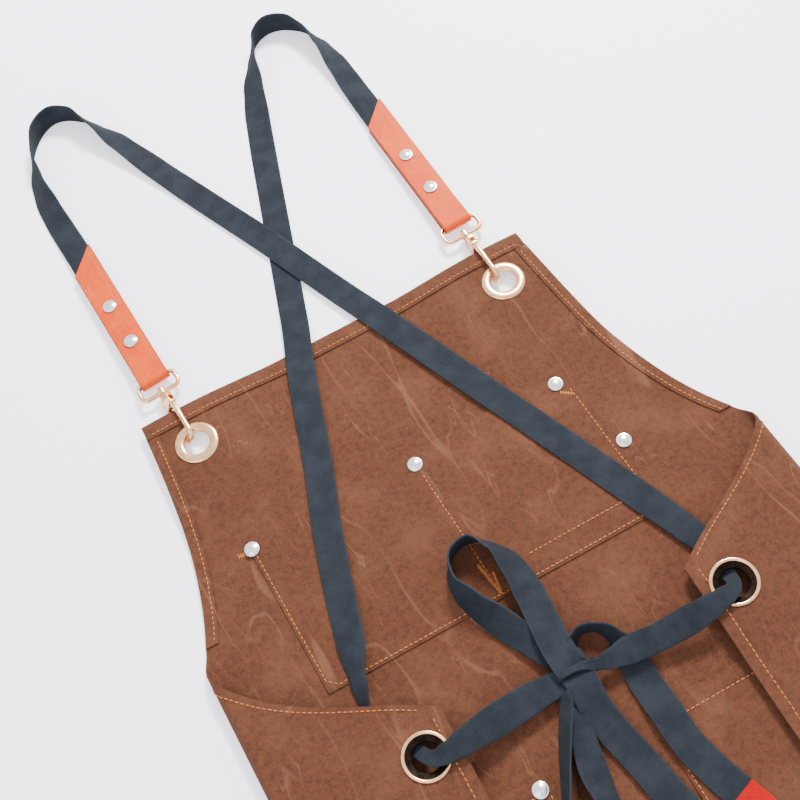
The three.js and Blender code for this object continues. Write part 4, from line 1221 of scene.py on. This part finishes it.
# A rivet: domed cap with a rolled edge and a faint ring, a post and a flat base.
CAP = 0.0052
cap_profile = (
    [(0.0046, -0.0006), (0.0046, 0.0), (0.0015, 0.0), (0.0015, 0.0006)]
    + [(CAP - 0.0003, 0.0006)]
    + arc(CAP - 0.00045, 0.00105, 0.00045, 0.00045, -70, 60, 5)
    + [(CAP * 0.86, 0.00152), (CAP * 0.80, 0.00150), (CAP * 0.74, 0.00168)]
    + [(CAP * 0.55, 0.00208), (CAP * 0.34, 0.00234), (CAP * 0.16, 0.00246), (CAP * 0.03, 0.0025)]
)


def rivet_profile(reach):
    return [(r, z + (reach if z > 0.0001 else 0.0)) for r, z in cap_profile]


rivet_low = turned_piece("rivet_low", rivet_profile(CLOTH_THICKNESS), 40, silver)
rivet_high = turned_piece("rivet_high", rivet_profile(CLOTH_THICKNESS + 0.0013), 40, silver)
rivet_tab = turned_piece("rivet_tab", rivet_profile(0.006), 40, silver)

hardware = []
rivet_base = Matrix.Translation((0, 0, -HALF_CLOTH - GAP))
for name, (u, v) in eyelet_places.items():
    flip = Matrix.Rotation(math.pi, 4, "X") if name.startswith("waist") else Matrix()
    model = funnel_model if name.startswith("waist") else eyelet_model
    piece = copied(model, f"{name}_rim", placed(u, v) @ flip)
    hardware.append((piece, f"{name}_eyelet", "apron", "eyelet_metal"))
for name, (u, v) in POCKET_RIVETS.items():
    piece = copied(rivet_high, f"{name}_cap", placed(u, v) @ rivet_base)
    hardware.append((piece, name, "apron", "silver"))
piece = copied(rivet_low, "side_rivet_cap", placed(*SIDE_RIVET) @ rivet_base)
hardware.append((piece, "side_rivet", "apron", "silver"))

# ---- leather tabs and clasps -----------------------------------------------------------------------
LEATHER = 0.0020
TAB_WIDTH = 0.022
TAB_LENGTH = 0.126
TAB_SLANT = 0.022
TAB_SLOT = 0.0020
TAB_RIVETS = (0.037, 0.074)
RING_WIRE = 0.0032
RING_WIDTH = 0.032
RING_HEIGHT = 0.013
HOOK_WIRE = 0.0040
HOOK_HALF_GAP = 0.0055
HOOK_LENGTH = 0.0445
CLASP_HEIGHT = CLOTH_BASE + HALF_CLOTH + BIB_LIFT
EYE_Y = BIB_EYELET[1] + EYELET_HOLE_RADIUS - 0.0045 + HOOK_LENGTH
EYE_RADIUS = 0.0036
EYE_LENGTH = 0.005
BODY_TOP = -EYE_LENGTH / 2 - 0.00035
TAB_INNER = RING_WIRE / 2 + GAP
TAB_SLOPE = math.atan((CLASP_HEIGHT - 0.0005 - TAB_SLOT / 2 - LEATHER) / TAB_LENGTH)

# The leather's rounded section.
LEATHER_ACROSS = [-1.0, -0.985, -0.955, -0.90, -0.45, 0.0, 0.45, 0.90, 0.955, 0.985, 1.0]
LEATHER_EDGE = [0.45, 0.78, 0.95, 1.0]
LEATHER_SECTION = with_underside(list(zip(LEATHER_ACROSS, LEATHER_EDGE + [1.0] * 3 + LEATHER_EDGE[::-1])))


# One strip of leather, folded round the ring's bar, with both ends cut on the slant.
def tab(name, matrix):
    half = TAB_SLOT / 2 + LEATHER / 2
    middle = TAB_INNER + LEATHER / 2
    side = [(y, mix(half, middle, 1 - smooth(y, 0.0, 0.018))) for y in spread(TAB_LENGTH, 0.0, 60)]
    round_bar = [(-middle * math.sin(a), middle * math.cos(a)) for a in spread(0, math.pi, 18)[1:-1]]
    line = side + round_bar + [(y, -z) for y, z in side[::-1]]
    frames, slants, along = [], [], 0.0
    for i, (y, z) in enumerate(line):
        before, after = line[max(i - 1, 0)], line[min(i + 1, len(line) - 1)]
        ahead = Vector((0, after[0] - before[0], after[1] - before[1])).normalized()
        across = Vector((-1, 0, 0))
        face = ahead.cross(across)
        if i:
            along += math.hypot(y - line[i - 1][0], z - line[i - 1][1])
        frames.append((Vector((0, y, z)), across, face, TAB_WIDTH, along))
        slant = TAB_SLANT / TAB_WIDTH * smooth(y, TAB_RIVETS[1] + 0.008, TAB_LENGTH)
        slants.append(-slant if i < len(line) / 2 else slant)
    piece = new_object(name, skin(name, frames, LEATHER, slants, LEATHER_SECTION), leather)
    piece.data.transform(matrix)
    sharpen(piece, 50)
    return piece


# A round wire along a line of points, closed in a loop or with rounded ends.
def wire(name, points, radius, material, closed=False):
    curve = bpy.data.curves.new(name, "CURVE")
    curve.dimensions = "3D"
    curve.bevel_depth = radius
    curve.bevel_resolution = 4
    curve.use_fill_caps = True
    line = curve.splines.new("POLY")
    line.points.add(len(points) - 1)
    for target, point in zip(line.points, points):
        target.co = (*point, 1)
    line.use_cyclic_u = closed
    pick(new_object(name, curve))
    bpy.ops.object.convert(target="MESH")
    piece = bpy.context.object
    start_edit()
    bpy.ops.mesh.remove_doubles(threshold=0.000005)
    bpy.ops.mesh.normals_make_consistent(inside=False)
    bpy.ops.object.mode_set(mode="OBJECT")
    piece.data.materials.clear()
    piece.data.materials.append(material)
    sharpen(piece, 45)
    return piece


def join_into(name, pieces):
    bpy.ops.object.select_all(action="DESELECT")
    for piece in pieces:
        piece.select_set(True)
    bpy.context.view_layer.objects.active = pieces[0]
    bpy.ops.object.join()
    whole = bpy.context.object
    whole.name = name
    return whole


# A block with rounded edges between two corners.
def rounded_block(name, low, high, edge, material, segments=3):
    bpy.ops.object.select_all(action="DESELECT")
    middle = [(a + b) / 2 for a, b in zip(low, high)]
    size = [b - a for a, b in zip(low, high)]
    bpy.ops.mesh.primitive_cube_add(size=1)
    piece = bpy.context.object
    piece.name = name
    piece.data.transform(Matrix.Translation(middle) @ Matrix.Diagonal((*size, 1)))
    start_edit()
    bpy.ops.mesh.bevel(offset=edge, segments=segments, affect="EDGES")
    bpy.ops.object.mode_set(mode="OBJECT")
    piece.data.materials.append(material)
    sharpen(piece, 30)
    return piece


# The rounded rectangular ring with its swivel eye, whose axis runs along y.
def ring(name, matrix):
    x, high, corner = (RING_WIDTH - RING_WIRE) / 2, RING_HEIGHT, 0.004
    line = []
    corners = ((x - corner, corner, -90), (x - corner, high - corner, 0))
    corners += ((corner - x, high - corner, 90), (corner - x, corner, 180))
    for cx, cy, start in corners:
        for a in spread(math.radians(start), math.radians(start + 90), 8):
            line.append((cx + corner * math.cos(a), cy + corner * math.sin(a), 0))
    piece = wire(name, line, RING_WIRE / 2, gold, closed=True)
    half = EYE_LENGTH / 2
    profile = [(EYE_RADIUS - 0.0016, -half), (EYE_RADIUS - 0.0004, -half), (EYE_RADIUS, -half + 0.0004)]
    profile += [(EYE_RADIUS, half - 0.0004), (EYE_RADIUS - 0.0004, half), (EYE_RADIUS - 0.0016, half)]
    profile += [(EYE_RADIUS - 0.0016, -half)]
    eye = turned_piece(name + "_eye", profile, 36, gold, closed=True)
    eye.data.transform(Matrix.Rotation(-math.pi / 2, 4, "X"))
    combine(piece, eye, "UNION")
    piece.data.transform(matrix)
    sharpen(piece, 35)
    return piece


# The clasp: a collar, a slotted body and a wire hook whose tip the gate closes.
def hook(name, matrix):
    half_height = HOOK_HALF_GAP + HOOK_WIRE * 0.4
    body_low = (-0.0026, BODY_TOP - 0.0115, -half_height)
    piece = rounded_block(name, body_low, (0.0026, BODY_TOP - 0.0018, half_height), 0.0011, gold)
    collar_profile = [(0.0016, -0.0035), (EYE_RADIUS - 0.0003, -0.0035), (EYE_RADIUS, -0.0031)]
    collar_profile += [(EYE_RADIUS, -0.0004), (EYE_RADIUS - 0.0004, 0.0), (0.0016, 0.0)]
    collar = turned_piece(name + "_collar", collar_profile, 36, gold)
    collar.data.transform(Matrix.Translation((0, BODY_TOP, 0)) @ Matrix.Rotation(-math.pi / 2, 4, "X"))
    bend_y = -HOOK_LENGTH + HOOK_HALF_GAP
    line = [(0, BODY_TOP - 0.006, HOOK_HALF_GAP * 0.72), (0, BODY_TOP - 0.011, HOOK_HALF_GAP * 0.86)]
    line += [(0, BODY_TOP - 0.0145, HOOK_HALF_GAP * 0.97), (0, BODY_TOP - 0.018, HOOK_HALF_GAP)]
    line += [(0, y, HOOK_HALF_GAP) for y in spread(BODY_TOP - 0.022, bend_y, 4)[:-1]]
    for a in spread(0, math.pi, 16):
        line.append((0, bend_y - HOOK_HALF_GAP * math.sin(a), HOOK_HALF_GAP * math.cos(a)))
    line += [(0, bend_y + 0.002, -HOOK_HALF_GAP), (0, bend_y + 0.004, -HOOK_HALF_GAP)]
    strand = wire(name + "_wire", line, HOOK_WIRE / 2, gold)
    slot_low = (-0.0015, BODY_TOP - 0.0140, -half_height - 0.002)
    slot = rounded_block(name + "_slot", slot_low, (0.0015, BODY_TOP - 0.0042, 0.0006), 0.0003, gold)
    window_low = (-0.0015, BODY_TOP - 0.0095, 0.0030)
    window_high = (0.0015, BODY_TOP - 0.0052, half_height + 0.002)
    window = rounded_block(name + "_window", window_low, window_high, 0.0003, gold)
    for tool in (collar, strand):
        combine(piece, tool, "UNION")
    for tool in (slot, window):
        combine(piece, tool, "DIFFERENCE")
    piece.data.transform(matrix)
    sharpen(piece, 35)
    return piece


for side, eye_x, heading, swivel in (("left", -0.126, 4.8, 30), ("right", 0.1185, 2.0, 4)):
    end = Matrix.Translation(ORIGIN + Vector((eye_x, EYE_Y, CLASP_HEIGHT)))
    end = end @ Matrix.Rotation(math.radians(heading), 4, "Z")
    tab_frame = end @ Matrix.Translation((0, RING_HEIGHT, 0)) @ Matrix.Rotation(-TAB_SLOPE, 4, "X")
    hook_frame = end @ Matrix.Rotation(math.radians(swivel), 4, "Y")
    hardware.append((tab(f"tab_{side}", tab_frame), f"leather_tab_{side}", "apron", "leather"))
    for i, y in enumerate(TAB_RIVETS, 1):
        place = tab_frame @ Matrix.Translation((0, y, -0.003 - GAP))
        piece = copied(rivet_tab, f"tab_cap_{side}_{i}", place)
        hardware.append((piece, f"tab_rivet_{side}_{i}", "apron", "silver"))
    hardware.append((ring(f"clasp_ring_{side}", end), f"ring_{side}", f"ring_body_{side}", "clasp_metal"))
    piece = hook(f"clasp_hook_{side}", hook_frame)
    hardware.append((piece, f"hook_{side}", f"hook_body_{side}", "clasp_metal"))

for model in (eyelet_model, funnel_model, rivet_low, rivet_high, rivet_tab):
    bpy.data.objects.remove(model)
for piece, node, body, slot in hardware:
    declare(piece, body, slot, node)

# CAD pieces that stay as they are get the metal's finish.
for name, node in frame["nodes"].items():
    if name.endswith("_washer") or name.startswith(("gate_", "swivel_stud")):
        finish = silver if name.startswith(("gate_pin", "gate_spring")) else gold
        node.data.materials.clear()
        node.data.materials.append(finish)

# ---- cords ---------------------------------------------------------------------------------------
STRAP_WANDER = 0.06  # how far a strap's lean strays at each step of its way
strap_left = webbing("webbing_strap_left", LEFT_STRAP, 420, dark_webbing, STRAP_WANDER)
strap_right = webbing("webbing_strap_right", RIGHT_STRAP, 420, dark_webbing, STRAP_WANDER)
loop_upper = webbing("bow_loop_high", BOW_LOOP_UPPER, 140, dark_webbing)
loop_lower = webbing("bow_loop_low", BOW_LOOP_LOWER, 140, dark_webbing)
tail_right = webbing("tail_right", TAIL_RIGHT, 110, dark_webbing)
tail_left = webbing("tail_left", TAIL_LEFT, 90, dark_webbing)[0]  # too short to be a cord of its own


def tip_route(tail):
    before, last = tail[-2], tail[-1]
    heading = Vector((last[0] - before[0], last[1] - before[1])).normalized()
    return [
        (last[0] + heading.x * along, last[1] + heading.y * along, last[2], 0, 0.020)
        for along in (-0.0006, TIP_LENGTH)
    ]


tip_right = webbing("red_tip_right", tip_route(TAIL_RIGHT), 14, red_webbing)[0]
tip_left = webbing("red_tip_left", tip_route(TAIL_LEFT), 14, red_webbing)[0]

for (piece, path, length), far_end, extras, node in (
    (strap_left, "object", [], "strap_left"),
    (strap_right, "object", [], "strap_right"),
    (loop_upper, "object", [], "bow_loop_upper"),
    (loop_lower, "object", [tail_left, tip_left], "bow_loop_lower"),
    (tail_right, "bare", [tip_right], "tie_tail_right"),
):
    declare(piece, "apron", "webbing", node)
    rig.cord(
        piece,
        exit=path[0],
        length=length,
        diameter=0.020,
        far_end=far_end,
        stiffness="limp",
        lay="loose",
        path=path,
        with_pieces=extras,
    )
declare(tail_left, "apron", "webbing", "tie_tail_left")
declare(tip_right, "apron", "red_tip", "tie_tip_right")
declare(tip_left, "apron", "red_tip", "tie_tip_left")

# ---- the knot's core, under the bands that cross it ------------------------------------------------
core_low = ORIGIN + Vector((0.0115, -0.3015, 0.0045))
core_high = ORIGIN + Vector((0.0330, -0.2795, 0.0118))
core = rounded_block("knot_core", core_low, core_high, 0.0032, dark_webbing, 4)
wrap_route = [
    (0.0350, -0.2945, 0.0118, -24, 0.009),
    (0.0290, -0.2922, 0.0132, 6, 0.0060),
    (0.0215, -0.2911, 0.0134, 20, 0.0048),
    (0.0140, -0.2903, 0.0126, 10, 0.0060),
    (0.0098, -0.2898, 0.0096, -10, 0.0080),
    (0.0088, -0.2905, 0.0058, -20, 0.0080),
]
wrap = webbing("knot_wrap", wrap_route, 60, dark_webbing)[0]
knot = join_into("knot_folds", [wrap, core])
declare(knot, "apron", "webbing", "bow_knot")

# ---- cloth: what it rides on and stands for --------------------------------------------------------
stands_for = (
    (panel, ["apron_panel"]),
    (top_hem, ["top_hem"]),
    (arm_hems[0], ["armhole_hem_left"]),
    (arm_hems[1], ["armhole_hem_right"]),
    (pockets[0], ["chest_pocket"]),
    (pockets[1], ["lower_pocket_left"]),
    (pockets[2], ["lower_pocket_right"]),
    (back_hems[0], []),
    (back_hems[1], []),
    (foot_hem, []),
    (hem_stitches, []),
    (pocket_stitches, []),
    (tacks, []),
)
for piece, nodes in stands_for:
    declare(piece, "apron", "canvas", *nodes)
flat_area = 2 * SKIRT_HALF_WIDTH * (APRON_LENGTH - ARMHOLE_DEPTH)
flat_area += sum(2 * half_width(-ARMHOLE_DEPTH * (i + 0.5) / 60) * ARMHOLE_DEPTH / 60 for i in range(60))
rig.sheet(
    panel,
    flat=(2 * SKIRT_HALF_WIDTH, APRON_LENGTH),
    held="folded",
    rests_on=[],
    area=flat_area,
    with_pieces=[top_hem, *arm_hems, *back_hems, foot_hem, *pockets, hem_stitches, pocket_stitches, tacks],
)

# ---- floor and light -----------------------------------------------------------------------------
bpy.ops.object.select_all(action="DESELECT")
bpy.ops.mesh.primitive_plane_add(size=8, location=(0, 0, 0))
floor = bpy.context.object
floor.name = "floor"
floor_material, _, floor_shader = new_material("pale table", 0.6)
floor_shader.inputs["Base Color"].default_value = srgb(250, 249, 255)
floor_shader.inputs["Emission Color"].default_value = srgb(244, 242, 255)
floor_shader.inputs["Emission Strength"].default_value = 0.7
floor.data.materials.append(floor_material)
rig.stage(floor)

world = bpy.data.worlds.new("studio")
world.use_nodes = True
world.node_tree.nodes["Background"].inputs[0].default_value = (0.93, 0.93, 1.0, 1)
world.node_tree.nodes["Background"].inputs[1].default_value = 2.0
bpy.context.scene.world = world


def soft_light(name, place, size, power, colour):
    data = bpy.data.lights.new(name, "AREA")
    data.shape = "DISK"
    data.size = size
    data.energy = power
    data.color = colour
    lamp = bpy.data.objects.new(name, data)
    bpy.context.collection.objects.link(lamp)
    lamp.location = place
    lamp.rotation_euler = (TARGET - Vector(place)).to_track_quat("-Z", "Y").to_euler()


soft_light("key", (0.75, 1.15, 1.25), 0.42, 72, (1, 0.985, 0.96))
soft_light("fill", (-0.9, -0.4, 1.3), 1.2, 8, (0.96, 0.98, 1))

visual_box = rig.bounds()
with open("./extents.json", "w") as out:
    json.dump({"cad": [list(c) for c in cad_box], "visual": [list(c) for c in visual_box]}, out)
